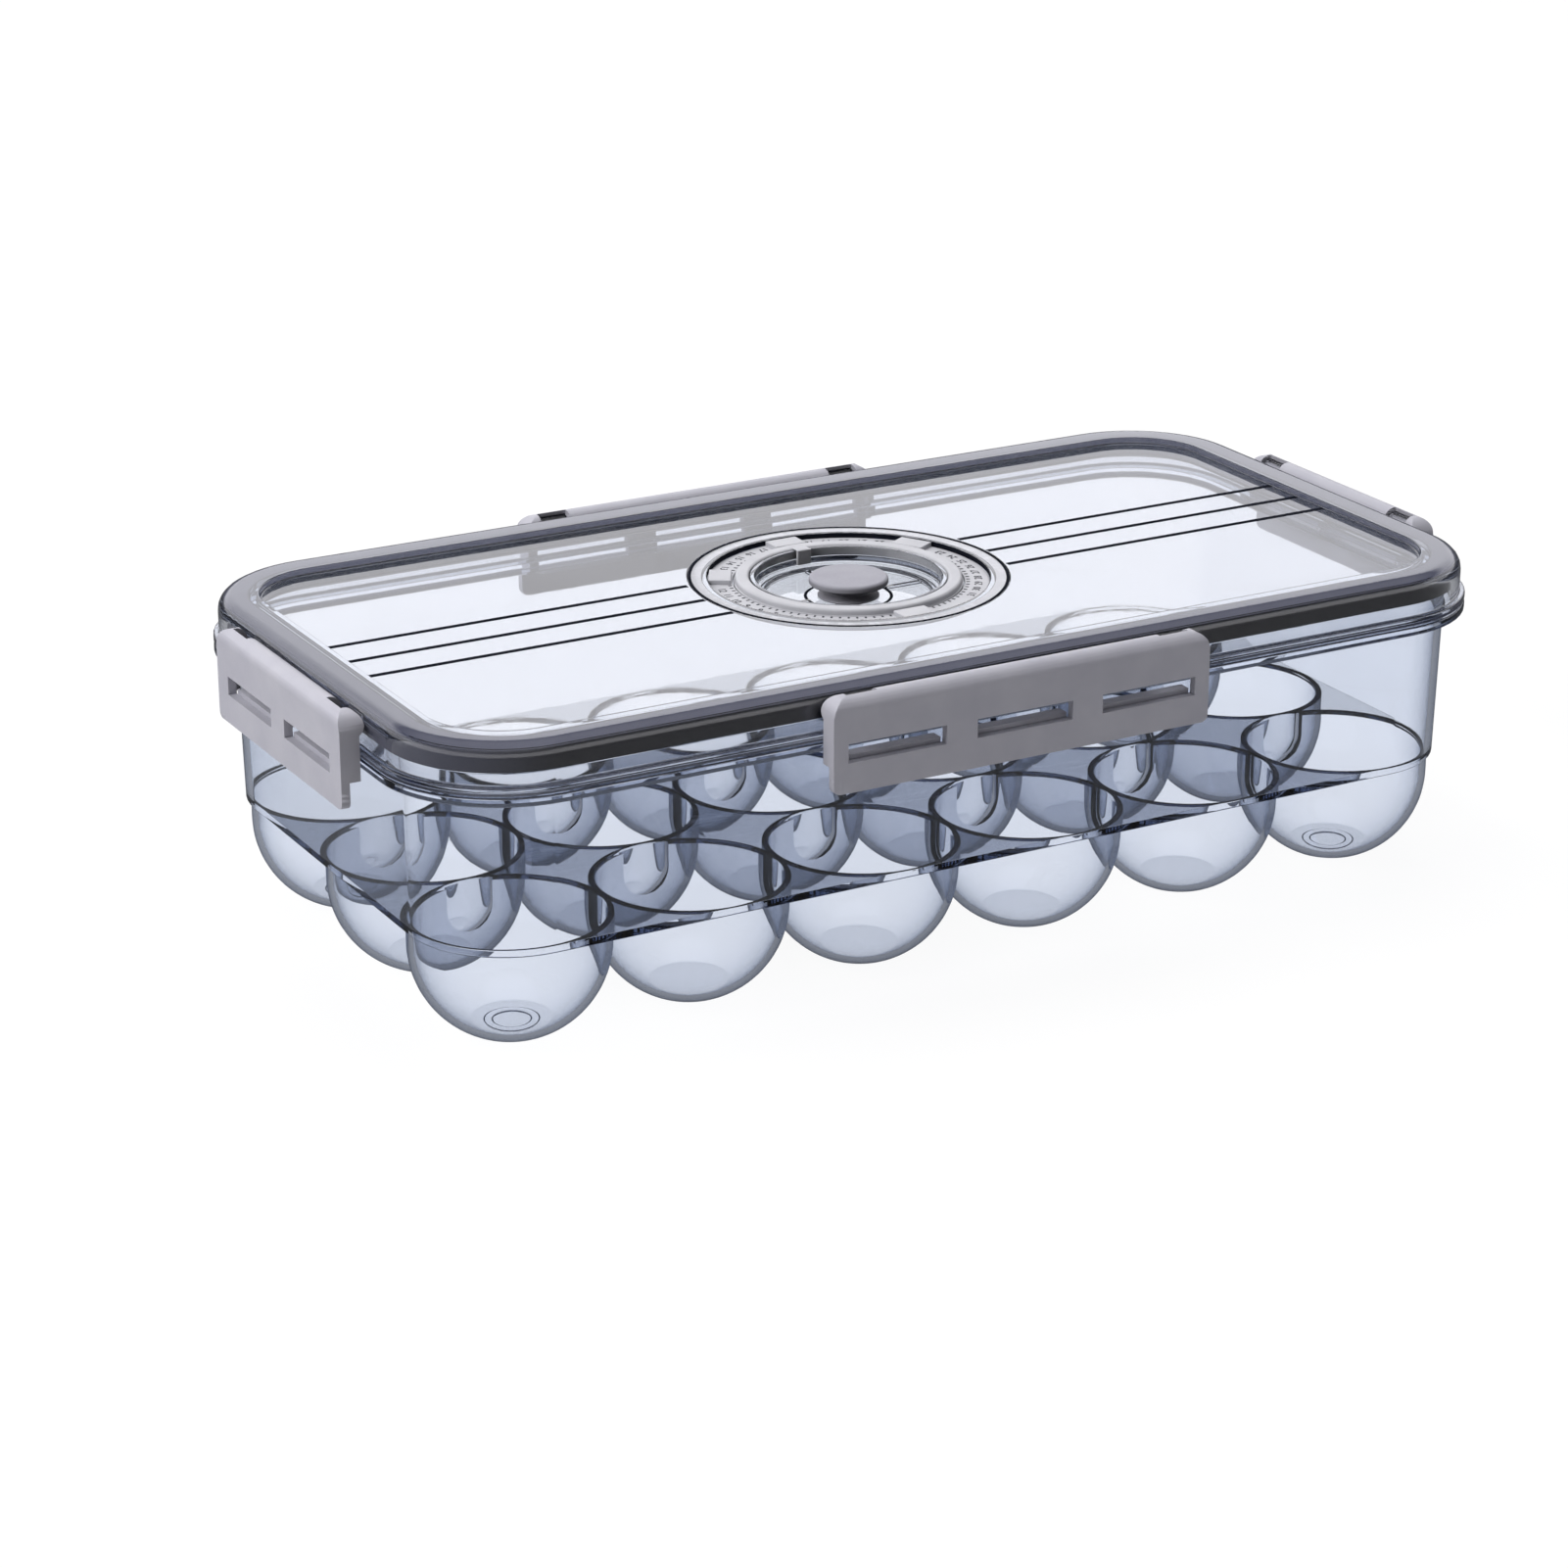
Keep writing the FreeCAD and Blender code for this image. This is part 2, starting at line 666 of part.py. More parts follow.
# Dial: radii and heights, worked inwards from the seam and down from the plate
barrel_out = size("dial_radius") - size("dial_flange")
barrel_in = barrel_out - size("dial_wall")
dial_top = plate_top + size("dial_proud")
flange_under = dial_top - size("dial_flange_thickness")
seat_level = flange_under - size("dial_seal_thickness")
seat_depth = plate_top - seat_level
ring_floor = dial_top - size("ring_depth")
ring_bottom = ring_floor + size("ring_rest")
ring_top = ring_bottom + size("ring_thickness")
hub_out = size("well_radius") + size("dial_wall")
date_out = barrel_in - size("ring_play")
month_in = hub_out + size("ring_play")
rings_width = date_out - month_in - size("ring_split")
date_in = date_out - rings_width * size("date_ring_share")
month_out = date_in - size("ring_split")
well_bottom = plate_top - size("well_depth")
well_ledge = plate_top - size("well_ledge_depth")
well_step = size("well_radius") - size("well_ledge_width")
vent_hole = size("vent_stem_radius") + size("vent_play")


def make_dial_cup():
    """Clear fixed cup: flange on the lid, a groove for the rings, and a stepped well with a vent hole."""
    body = new_body("dial_cup")
    wall = size("dial_wall")
    floor_under = well_bottom - size("well_floor")
    line = new_sketch(body, "cup_line", "XZ_Plane")
    outline(line, [
        (vent_hole, floor_under), (well_step + wall, floor_under), (well_step + wall, well_ledge - wall),
        (hub_out, well_ledge - wall), (hub_out, ring_floor - wall), (barrel_out, ring_floor - wall),
        (barrel_out, flange_under), (size("dial_radius"), flange_under),
        (size("dial_radius"), plate_top), (barrel_out, dial_top), (barrel_in, dial_top),
        (barrel_in, ring_floor), (hub_out, ring_floor), (hub_out, plate_top),
        (size("well_radius"), plate_top), (size("well_radius"), well_ledge), (well_step, well_ledge),
        (well_step, well_bottom), (vent_hole, well_bottom)])
    revolve(body, "cup", line)

    # Low ribs that run out from the plug to the step of the well
    rib = new_sketch(body, "rib_line", "XY_Plane", (None, None, well_bottom))
    rectangle(rib, (size("knob_radius") + size("rib_width"), -size("rib_width") / 2),
              (well_step + wall / 2, size("rib_width") / 2))
    first = pad(body, "rib", rib, size("rib_height"))
    pattern = body.newObject("PartDesign::PolarPattern", "ribs")
    pattern.Originals = [first]
    pattern.Axis = (origin_feature(body, "Z_Axis"), [""])
    pattern.setExpression("Occurrences", size("ribs").text)
    body.Tip = pattern
    doc.recompute()
    return body


def make_flat_ring(label, inner, outer, low, high):
    """Plain turned ring of square section."""
    body = new_body(label)
    line = new_sketch(body, "ring_line", "XZ_Plane")
    rectangle(line, (inner, low), (outer, high))
    revolve(body, "ring", line)
    return body


def add_tab(body, name, angle):
    """Raised tab across the date ring, to push it round with a finger."""
    edge = size("ring_split")
    line = new_sketch(body, f"{name}_line", "XY_Plane", (None, None, ring_top))
    line.AttachmentOffset = FreeCAD.Placement(line.AttachmentOffset.Base,
                                              FreeCAD.Rotation(FreeCAD.Vector(0, 0, 1), angle))
    rectangle(line, (date_in + edge, -size("tab_width") / 2), (date_out - edge, size("tab_width") / 2))
    return pad(body, name, line, size("tab_height"))


def make_date_ring():
    """Outer turning ring, which carries the numbers of the days: evenly spaced tabs and one more."""
    body = make_flat_ring("date_ring", date_in, date_out, ring_bottom, ring_top)
    add_tab(body, "pointer", 90)
    first = add_tab(body, "tab", -90)
    pattern = body.newObject("PartDesign::PolarPattern", "tabs")
    pattern.Originals = [first]
    pattern.Axis = (origin_feature(body, "Z_Axis"), [""])
    pattern.setExpression("Occurrences", size("tabs").text)
    body.Tip = pattern
    doc.recompute()
    return body


def make_month_ring():
    """Inner turning ring: a raised grip bead, and a finger bar that reaches over the edge into the well."""
    body = new_body("month_ring")
    bead_out = month_in + (month_out - month_in) * size("bead_share")
    bead_top = ring_top + size("bead_height")
    bead_round = size("bead_height") * size("bead_round_share")
    shoulder = bead_top - bead_round
    line = new_sketch(body, "ring_line", "XZ_Plane")
    outline(line,
            [(month_in, ring_bottom), (month_out, ring_bottom), (month_out, ring_top), (bead_out, ring_top),
             (bead_out, shoulder), (bead_out - bead_round, bead_top), (month_in + bead_round, bead_top),
             (month_in, shoulder)],
            {4: ((bead_out - bead_round, shoulder), bead_round, True),
             6: ((month_in + bead_round, shoulder), bead_round, True)})
    revolve(body, "ring", line)

    gap = size("bar_gap")
    bar_out = size("well_radius") - gap
    bar_in = bar_out - size("bar_thickness")
    bar_low = plate_top + gap
    bar = new_sketch(body, "bar_line", "YZ_Plane")
    outline(bar,
            [(bar_in, plate_top - size("bar_drop")), (bar_out, plate_top - size("bar_drop")),
             (bar_out, bar_low), (month_in + bead_round, bar_low), (month_in + bead_round, bead_top),
             (bar_in, bead_top)])
    pad(body, "bar", bar, size("bar_width"), middle=True)
    return body


def make_vent_plug():
    """Soft plug: a knob on a neck, a sealing base, a stem through the vent hole and a bulb below."""
    body = new_body("vent_plug")
    base_low = well_bottom + size("knob_rest")
    base_high = base_low + size("knob_base")
    cap_top = plate_top - size("knob_below_plate")
    cap_low = cap_top - size("knob_cap")
    bulb_top = well_bottom - size("well_floor") - size("vent_travel") - size("knob_rest")
    bulb_low = bulb_top - size("vent_bulb_height")
    knob = size("knob_radius")
    soft = size("knob_round")
    line = new_sketch(body, "plug_line", "XZ_Plane")
    outline(line,
            [(None, bulb_low), (size("vent_stem_radius"), bulb_low), (size("vent_bulb_radius"), bulb_top),
             (size("vent_stem_radius"), bulb_top), (size("vent_stem_radius"), base_low), (knob, base_low),
             (size("knob_neck_radius"), base_high), (size("knob_neck_radius"), cap_low), (knob, cap_low),
             (knob, cap_top - soft), (knob - soft, cap_top), (None, cap_top)],
            {9: ((knob - soft, cap_top - soft), soft, True)})
    revolve(body, "plug", line)
    return body


nodes = [
    make_tray(),
    make_lid(),
    make_gasket(),
    make_clip("front_clip", grid_y, size("long_clip"), size("long_slot"), size("long_slot_pitch"),
              size("long_slots"), 0),
    make_clip("back_clip", grid_y, size("long_clip"), size("long_slot"), size("long_slot_pitch"),
              size("long_slots"), 180),
    make_clip("left_clip", grid_x, size("short_clip"), size("short_slot"), size("short_slot_pitch"),
              size("short_slots"), -90),
    make_clip("right_clip", grid_x, size("short_clip"), size("short_slot"), size("short_slot_pitch"),
              size("short_slots"), 90),
    make_dial_cup(),
    make_flat_ring("dial_seal", barrel_out + size("dial_seam"), size("dial_radius") - size("dial_seam"),
                   seat_level, flange_under),
    make_month_ring(),
    make_date_ring(),
    make_vent_plug(),
]
doc.recompute()

for item in doc.Objects:
    if "Invalid" in item.State or "Error" in item.State:
        raise RuntimeError(f"{item.Label} failed: {item.State}")
for node in nodes:
    shape = node.Shape
    if shape.isNull() or not shape.isValid():
        raise RuntimeError(f"{node.Label} has no valid shape")

os.makedirs("parts", exist_ok=True)
for node in nodes:
    node.Shape.exportStep(f"parts/{node.Label}.step")
    box = node.Shape.BoundBox
    print(f"{node.Label}: {len(node.Shape.Solids)} solid, {node.Shape.Volume / 1000:.1f} cm3,"
          f" {box.XLength:.1f} x {box.YLength:.1f} x {box.ZLength:.1f} from z {box.ZMin:.1f}")
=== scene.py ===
import json
import logging
import math
from dataclasses import dataclass
from enum import Enum
from typing import Callable, Optional, Sequence

import bmesh
import bpy
from mathutils import Matrix, Vector


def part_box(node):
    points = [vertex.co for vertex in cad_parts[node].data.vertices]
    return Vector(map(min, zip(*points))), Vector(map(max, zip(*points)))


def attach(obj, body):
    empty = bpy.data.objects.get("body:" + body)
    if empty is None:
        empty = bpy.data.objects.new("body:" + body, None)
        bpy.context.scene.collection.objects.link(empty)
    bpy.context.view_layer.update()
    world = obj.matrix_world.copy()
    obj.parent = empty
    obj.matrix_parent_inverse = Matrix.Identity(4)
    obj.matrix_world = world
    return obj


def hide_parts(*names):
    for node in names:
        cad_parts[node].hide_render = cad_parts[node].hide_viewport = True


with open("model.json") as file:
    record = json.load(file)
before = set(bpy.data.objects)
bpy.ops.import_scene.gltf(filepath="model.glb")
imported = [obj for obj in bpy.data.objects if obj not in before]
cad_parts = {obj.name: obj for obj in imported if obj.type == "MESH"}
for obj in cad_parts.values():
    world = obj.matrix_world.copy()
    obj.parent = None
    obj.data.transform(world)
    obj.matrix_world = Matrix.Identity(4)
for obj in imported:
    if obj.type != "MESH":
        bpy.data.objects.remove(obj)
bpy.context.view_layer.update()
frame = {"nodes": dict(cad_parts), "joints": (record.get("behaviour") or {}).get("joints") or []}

# An egg storage box in clear plastic: a tray of cups, a sealed lid with four swinging clips, and a dial.
# Sizes are in millimetres and become metres where vertices are made.
MM = 0.001
WELD_MM = 0.002
CUT_MM = 1e-6
SIDE_SHARE = 0.49
FLAT_WEIGHT = 100
LOG = logging.getLogger("egg_box")

Point = tuple[float, float]
Corner = tuple[float, float, float]
Colour = tuple[float, float, float]
Place = tuple[float, float, float]
Station = tuple[Vector, Vector]
Socket = bpy.types.NodeSocket
Tree = bpy.types.NodeTree
Material = bpy.types.Material
Piece = bpy.types.Object
Mesh = bmesh.types.BMesh


class Slot(Enum):
    """The record's material slots."""

    CLEAR = "clear_plastic"
    SEAL = "seal"
    CLIP = "clip_plastic"
    RING = "ring_plastic"
    PLUG = "plug"


class Body(Enum):
    """The bodies that the pieces ride on."""

    TRAY = "tray"
    LID = "lid"
    MONTH = "month_ring"
    DATE = "date_ring"
    PLUG = "vent_plug"


def level(node: str, top: bool) -> float:
    """Gives the height in millimetres of a CAD node's top or bottom."""
    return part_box(node)[1 if top else 0].z / MM


# Node trees of the finishes

def add_node(tree: Tree, kind: str, inputs: dict[str | int, object], **settings: str) -> bpy.types.Node:
    """Adds a node and gives it its inputs.

    Args:
        tree: The node tree.
        kind: Blender's name for the kind of node.
        inputs: A socket to link or a value to set, for each named or numbered input.
        **settings: The node's own options.

    Returns:
        The node.
    """
    node = tree.nodes.new(kind)
    for option, choice in settings.items():
        setattr(node, option, choice)
    give(tree, node, inputs)
    return node


def give(tree: Tree, node: bpy.types.Node, inputs: dict[str | int, object]) -> None:
    """Links or sets a node's inputs.

    Args:
        tree: The node tree.
        node: The node.
        inputs: A socket to link or a value to set, for each named or numbered input.
    """
    for name, value in inputs.items():
        if isinstance(value, Socket):
            tree.links.new(value, node.inputs[name])
        else:
            node.inputs[name].default_value = value


def rgba(colour: Colour) -> tuple[float, float, float, float]:
    """Gives a colour its full opacity."""
    return (*colour, 1.0)


def new_material(name: str) -> tuple[Material, Tree, bpy.types.Node]:
    """Makes a material with one Principled shader.

    Args:
        name: Name of the material.

    Returns:
        The material, its node tree and the shader node.
    """
    material = bpy.data.materials.new(name)
    material.use_nodes = True
    tree = material.node_tree
    return material, tree, tree.nodes["Principled BSDF"]


def noise(tree: Tree, grain_mm: float, detail: float = 2.0) -> Socket:
    """Adds a noise pattern on Object coordinates.

    Args:
        tree: The material's node tree.
        grain_mm: Size of one grain of the pattern.
        detail: Number of finer layers.

    Returns:
        The noise's value, from 0 to 1.
    """
    place = add_node(tree, "ShaderNodeTexCoord", {}).outputs["Object"]
    inputs = {"Vector": place, "Scale": 1 / (grain_mm * MM), "Detail": detail}
    return add_node(tree, "ShaderNodeTexNoise", inputs).outputs["Fac"]


def spread(tree: Tree, value: Socket, result: Point, given: Point = (0.3, 0.7)) -> Socket:
    """Maps the given range of a value to the resulting one, by default from the middle of a noise's range."""
    inputs = {"From Min": given[0], "From Max": given[1], "To Min": result[0], "To Max": result[1]}
    return add_node(tree, "ShaderNodeMapRange", {"Value": value, **inputs}).outputs["Result"]


def tint(tree: Tree, value: Socket, first: Colour, second: Colour) -> Socket:
    """Mixes two colours by a value, which is the share of the second."""
    inputs = {"Factor": value, "A": rgba(first), "B": rgba(second)}
    return add_node(tree, "ShaderNodeMix", inputs, data_type="RGBA").outputs["Result"]


def bump(tree: Tree, value: Socket, depth_mm: float, strength: float) -> Socket:
    """Gives a normal bumped by a value, where 1 stands for the depth."""
    inputs = {"Height": value, "Distance": depth_mm * MM, "Strength": strength}
    return add_node(tree, "ShaderNodeBump", inputs).outputs["Normal"]


@dataclass(frozen=True)
class ClearPlastic:
    """Polished clear plastic with a smoke-blue body tint."""

    name: str
    absorb_per_m: float
    skin_colour: Colour
    ior: float = 1.58
    first: Colour = (0.985, 0.988, 0.995)
    second: Colour = (0.965, 0.972, 0.985)
    absorb_colour: Colour = (0.05, 0.2, 0.55)
    skin_ior: float = 1.005
    wave_mm: float = 14.0
    wave_depth_mm: float = 0.02
    wave_strength: float = 0.3
    haze_mm: float = 3.5
    haze: float = 0.03

    def material(self) -> Material:
        """Builds the finish, which lamps pass, so that what it covers stays lit.

        Returns:
            The material.
        """
        material, tree, shader = new_material(self.name)
        wave = noise(tree, self.wave_mm)
        give(tree, shader, {
            "Transmission Weight": 1.0,
            "IOR": self.ior,
            "Coat Weight": 1.0,
            "Coat IOR": self.skin_ior,
            "Coat Tint": rgba(self.skin_colour),
            "Base Color": tint(tree, wave, self.first, self.second),
            "Roughness": spread(tree, noise(tree, self.haze_mm), (0.0, self.haze)),
            "Normal": bump(tree, wave, self.wave_depth_mm, self.wave_strength),
        })
        shadow = add_node(tree, "ShaderNodeLightPath", {}).outputs["Is Shadow Ray"]
        clear = add_node(tree, "ShaderNodeBsdfTransparent", {}).outputs["BSDF"]
        layers = {"Fac": shadow, 1: shader.outputs["BSDF"], 2: clear}
        surface = add_node(tree, "ShaderNodeMixShader", layers)
        inside = {"Color": rgba(self.absorb_colour), "Density": self.absorb_per_m}
        volume = add_node(tree, "ShaderNodeVolumeAbsorption", inside)
        give(tree, tree.nodes["Material Output"],
             {"Surface": surface.outputs["Shader"], "Volume": volume.outputs["Volume"]})
        return material


@dataclass(frozen=True)
class SatinPlastic:
    """Opaque moulded plastic or rubber with a fine grain."""

    name: str
    first: Colour
    second: Colour
    rough_low: float = 0.36
    rough_high: float = 0.48
    grain_mm: float = 0.35
    grain_depth_mm: float = 0.02
    grain_strength: float = 0.35
    grain_detail: float = 3.0
    cloud_mm: float = 9.0
    cloud_detail: float = 4.0
    gloss: float = 0.5

    def material(self) -> Material:
        """Builds the finish.

        Returns:
            The material.
        """
        material, tree, shader = new_material(self.name)
        cloud = spread(tree, noise(tree, self.cloud_mm, self.cloud_detail), (0.0, 1.0))
        grain = noise(tree, self.grain_mm, self.grain_detail)
        give(tree, shader, {
            "Specular IOR Level": self.gloss,
            "Base Color": tint(tree, cloud, self.first, self.second),
            "Roughness": spread(tree, grain, (self.rough_low, self.rough_high)),
            "Normal": bump(tree, grain, self.grain_depth_mm, self.grain_strength),
        })
        return material


@dataclass(frozen=True)
class Finishes:
    """Every finish of the box, each made once."""

    tray: Material
    clear: Material
    clip: Material
    seal: Material
    ring: Material
    plug: Material
    pale_seal: Material
    ink: Material


def make_finishes() -> Finishes:
    """Makes the box's materials.

    Returns:
        The set of materials.
    """
    return Finishes(
        # The tray's copy of the clear plastic has a darker, bluer skin than the lid's: painted shade that
        # darkens the cups' edges.
        tray=ClearPlastic("tray_plastic_painted_shade", 27.0, (0.956, 0.965, 0.982)).material(),
        clear=ClearPlastic("lid_plastic", 26.0, (0.991, 0.991, 0.992)).material(),
        clip=SatinPlastic("satin_clip", (0.37, 0.365, 0.415), (0.41, 0.405, 0.45)).material(),
        seal=SatinPlastic("seal_rubber", (0.084, 0.087, 0.122), (0.1, 0.103, 0.14), 0.5, 0.65).material(),
        ring=SatinPlastic("satin_ring", (0.42, 0.42, 0.45), (0.48, 0.48, 0.51)).material(),
        plug=SatinPlastic("plug_rubber", (0.285, 0.28, 0.32), (0.32, 0.315, 0.355), 0.45, 0.6).material(),
        pale_seal=SatinPlastic("pale_silicone", (0.6, 0.6, 0.64), (0.66, 0.66, 0.7), 0.45, 0.6).material(),
        # Dark ink prints the day numbers and ticks, and also paints shade: the lid's lines and the dial's
        # dark strips.
        ink=SatinPlastic(
            "dark_ink_and_painted_shade", (0.004, 0.005, 0.009), (0.009, 0.01, 0.015), 0.7, 0.8, gloss=0.02).material(),
    )


# Meshes

def arc(centre: Point, radius: float, start_deg: float, end_deg: float, steps: int) -> list[Point]:
    """Gives points along a circular arc of so many chords, both ends included."""
    angles = [math.radians(start_deg + (end_deg - start_deg) * step / steps) for step in range(steps + 1)]
    return [(centre[0] + radius * math.cos(a), centre[1] + radius * math.sin(a)) for a in angles]


def rounded(corners: Sequence[Corner], closed: bool = False, steps: int = 5) -> list[Point]:
    """Rounds the corners of a section.

    Args:
        corners: Each corner's two places and its rounding radius.
        closed: True if the last corner joins the first.
        steps: Chords in each rounding.

    Returns:
        The section's points.
    """
    line: list[Point] = []
    last = len(corners) - 1
    for index, (across, height, radius) in enumerate(corners):
        here = Vector((across, height))
        if radius <= 0 or (not closed and index in (0, last)):
            line.append((across, height))
            continue
        before = Vector(corners[index - 1][:2]) - here
        after = Vector(corners[(index + 1) % len(corners)][:2]) - here
        half = before.angle(after) / 2
        cut = min(radius / math.tan(half), before.length * SIDE_SHARE, after.length * SIDE_SHARE)
        centre = here + (before.normalized() + after.normalized()).normalized() * (cut / math.cos(half))
        first = here + before.normalized() * cut - centre
        second = here + after.normalized() * cut - centre
        for step in range(steps + 1):
            spot = centre + first.slerp(second, step / steps) * first.length
            line.append((spot.x, spot.y))
    return line


def turned(steps: int, centre: Point = (0.0, 0.0)) -> list[Station]:
    """Gives the stations of a full turn about a vertical axis."""
    angles = [math.tau * step / steps for step in range(steps)]
    return [(Vector(centre), Vector((math.cos(a), math.sin(a)))) for a in angles]


def sweep(mesh: Mesh, section: Sequence[Point], stations: Sequence[Station], closed: bool = False) -> None:
    """Carries a section round the stations.

    Args:
        mesh: Mesh that gets the faces.
        section: Points as distance from the station's centre, and height.
        stations: Centres and directions, in order round the path.
        closed: True if the section's last point joins its first.
    """
    count = len(stations)
    rings = []
    for across, height in section:
        if across < WELD_MM:
            rings.append([mesh.verts.new((*(stations[0][0] * MM), height * MM))])
            continue
        places = [centre + direction * across for centre, direction in stations]
        rings.append([mesh.verts.new((place.x * MM, place.y * MM, height * MM)) for place in places])
    for low, high in zip(rings, rings[1:] + (rings[:1] if closed else [])):
        for here in range(count):
            there = (here + 1) % count
            face = [low[here % len(low)], low[there % len(low)],
                    high[there % len(high)], high[here % len(high)]]
            mesh.faces.new(list(dict.fromkeys(face)))


def fill_level(mesh: Mesh, height: float) -> None:
    """Closes a flat level between the open edges that lie on it.

    Args:
        mesh: The mesh.
        height: Height of the level.
    """
    on_level = [edge for edge in mesh.edges if edge.is_boundary
                and all(abs(vert.co.z - height * MM) < WELD_MM * MM for vert in edge.verts)]
    bmesh.ops.triangle_fill(mesh, use_beauty=True, edges=on_level, normal=(0, 0, 1))


def prism(mesh: Mesh, loops: Sequence[Sequence[Point]], place: Callable[[float, float, float], Vector],
          length: float) -> None:
    """Extrudes a section with holes and closes both ends.

    Args:
        mesh: Mesh that gets the faces.
        loops: Outline and holes as points of the section.
        place: Gives a vertex for a section point and a place along the length.
        length: Length of the prism, about its middle.
    """
    caps: list[list[bmesh.types.BMEdge]] = [[], []]
    for loop in loops:
        ends = [[mesh.verts.new(place(x, y, side * length / 2) * MM) for x, y in loop] for side in (-1, 1)]
        for here in range(len(loop)):
            there = (here + 1) % len(loop)
            mesh.faces.new((ends[0][here], ends[0][there], ends[1][there], ends[1][here]))
            for cap, end in zip(caps, ends):
                cap.append(mesh.edges.get((end[here], end[there])))
    for cap in caps:
        bmesh.ops.triangle_fill(mesh, use_beauty=True, edges=cap)


def take_in(mesh: Mesh, part: Mesh) -> None:
    """Adds a part to a mesh.

    Args:
        mesh: Mesh that gets the part.
        part: The part, which is freed.
    """
    data = bpy.data.meshes.new("part")
    part.to_mesh(data)
    part.free()
    mesh.from_mesh(data)
    bpy.data.meshes.remove(data)


def face_out(mesh: Mesh) -> None:
    """Turns every closed part of a mesh so that its faces look outward.

    Args:
        mesh: The mesh.
    """
    bmesh.ops.recalc_face_normals(mesh, faces=mesh.faces)
    left = set(mesh.faces)
    while left:
        part = {left.pop()}
        edge_of_part = list(part)
        while edge_of_part:
            face = edge_of_part.pop()
            near = {other for edge in face.edges for other in edge.link_faces} & left
            left -= near
            part |= near
            edge_of_part.extend(near)
        start = next(iter(part)).verts[0].co.copy()
        volume = 0.0
        for face in part:
            corners = [vert.co - start for vert in face.verts]
            for second, third in zip(corners[1:], corners[2:]):
                volume += corners[0].dot(second.cross(third))
        if volume < 0:
            bmesh.ops.reverse_faces(mesh, faces=list(part))


def plain_mesh(name: str, obj: Piece) -> Piece:
    """Turns an object with modifiers into one with a plain mesh.

    Args:
        name: Name of the new object.
        obj: The object, which is removed.

    Returns:
        The new object, at the origin.
    """
    scene = bpy.context.scene
    depsgraph = bpy.context.evaluated_depsgraph_get()
    mesh = bpy.data.meshes.new_from_object(obj.evaluated_get(depsgraph), depsgraph=depsgraph)
    bpy.data.objects.remove(obj)
    mesh.name = name
    made = bpy.data.objects.new(name, mesh)
    scene.collection.objects.link(made)
    return made


def piece(name: str, mesh: Mesh, material: Material, smooth_deg: float = 40.0) -> Piece:
    """Makes an object of a mesh, with smooth roundings between flat faces.

    Args:
        name: Name of the object.
        mesh: Its mesh, which is freed.
        material: Its finish.
        smooth_deg: Edges sharper than this stay sharp.

    Returns:
        The object.
    """
    bmesh.ops.remove_doubles(mesh, verts=mesh.verts, dist=WELD_MM * MM)
    face_out(mesh)
    data = bpy.data.meshes.new(f"{name}_draft")
    mesh.to_mesh(data)
    mesh.free()
    data.shade_smooth()
    data.set_sharp_from_angle(angle=math.radians(smooth_deg))
    data.materials.append(material)
    draft = bpy.data.objects.new(f"{name}_draft", data)
    bpy.context.scene.collection.objects.link(draft)
    weight = draft.modifiers.new("flat_faces", "WEIGHTED_NORMAL")
    weight.weight = FLAT_WEIGHT
    weight.keep_sharp = True
    made = plain_mesh(name, draft)
    LOG.info("%s: %d faces", name, len(made.data.polygons))
    return made


def settle(obj: Piece, body: str, replaces: Optional[str] = None) -> None:
    """Sets a piece on its body.

    Args:
        obj: The piece.
        body: Body that it rides on.
        replaces: CAD node that it stands for, if any.
    """
    if replaces:
        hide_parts(replaces)
    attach(obj, body)


@dataclass(frozen=True)
class Grid:
    """Rectangle of corner cup centres, from which every outline of the tray and lid is grown."""

    half_x: float = 120.0
    half_y: float = 47.4
    columns: int = 6
    rows: int = 3
    corner_steps: int = 14

    def stations(self) -> list[Station]:
        """Gives the stations round the rectangle, with a quarter turn at each corner.

        Returns:
            The stations, counter-clockwise.
        """
        found = []
        corners = ((1, -1, -90), (1, 1, 0), (-1, 1, 90), (-1, -1, 180))
        for side_x, side_y, start in corners:
            for step in range(self.corner_steps + 1):
                angle = math.radians(start + 90 * step / self.corner_steps)
                found.append((Vector((side_x * self.half_x, side_y * self.half_y)),
                              Vector((math.cos(angle), math.sin(angle)))))
        return found

    def centres(self) -> list[tuple[int, int, Point]]:
        """Gives the places of the cups.

        Returns:
            Each cup's column, row and centre.
        """
        pitch_x = 2 * self.half_x / (self.columns - 1)
        pitch_y = 2 * self.half_y / (self.rows - 1)
        return [(column, row, (pitch_x * column - self.half_x, pitch_y * row - self.half_y))
                for row in range(self.rows) for column in range(self.columns)]


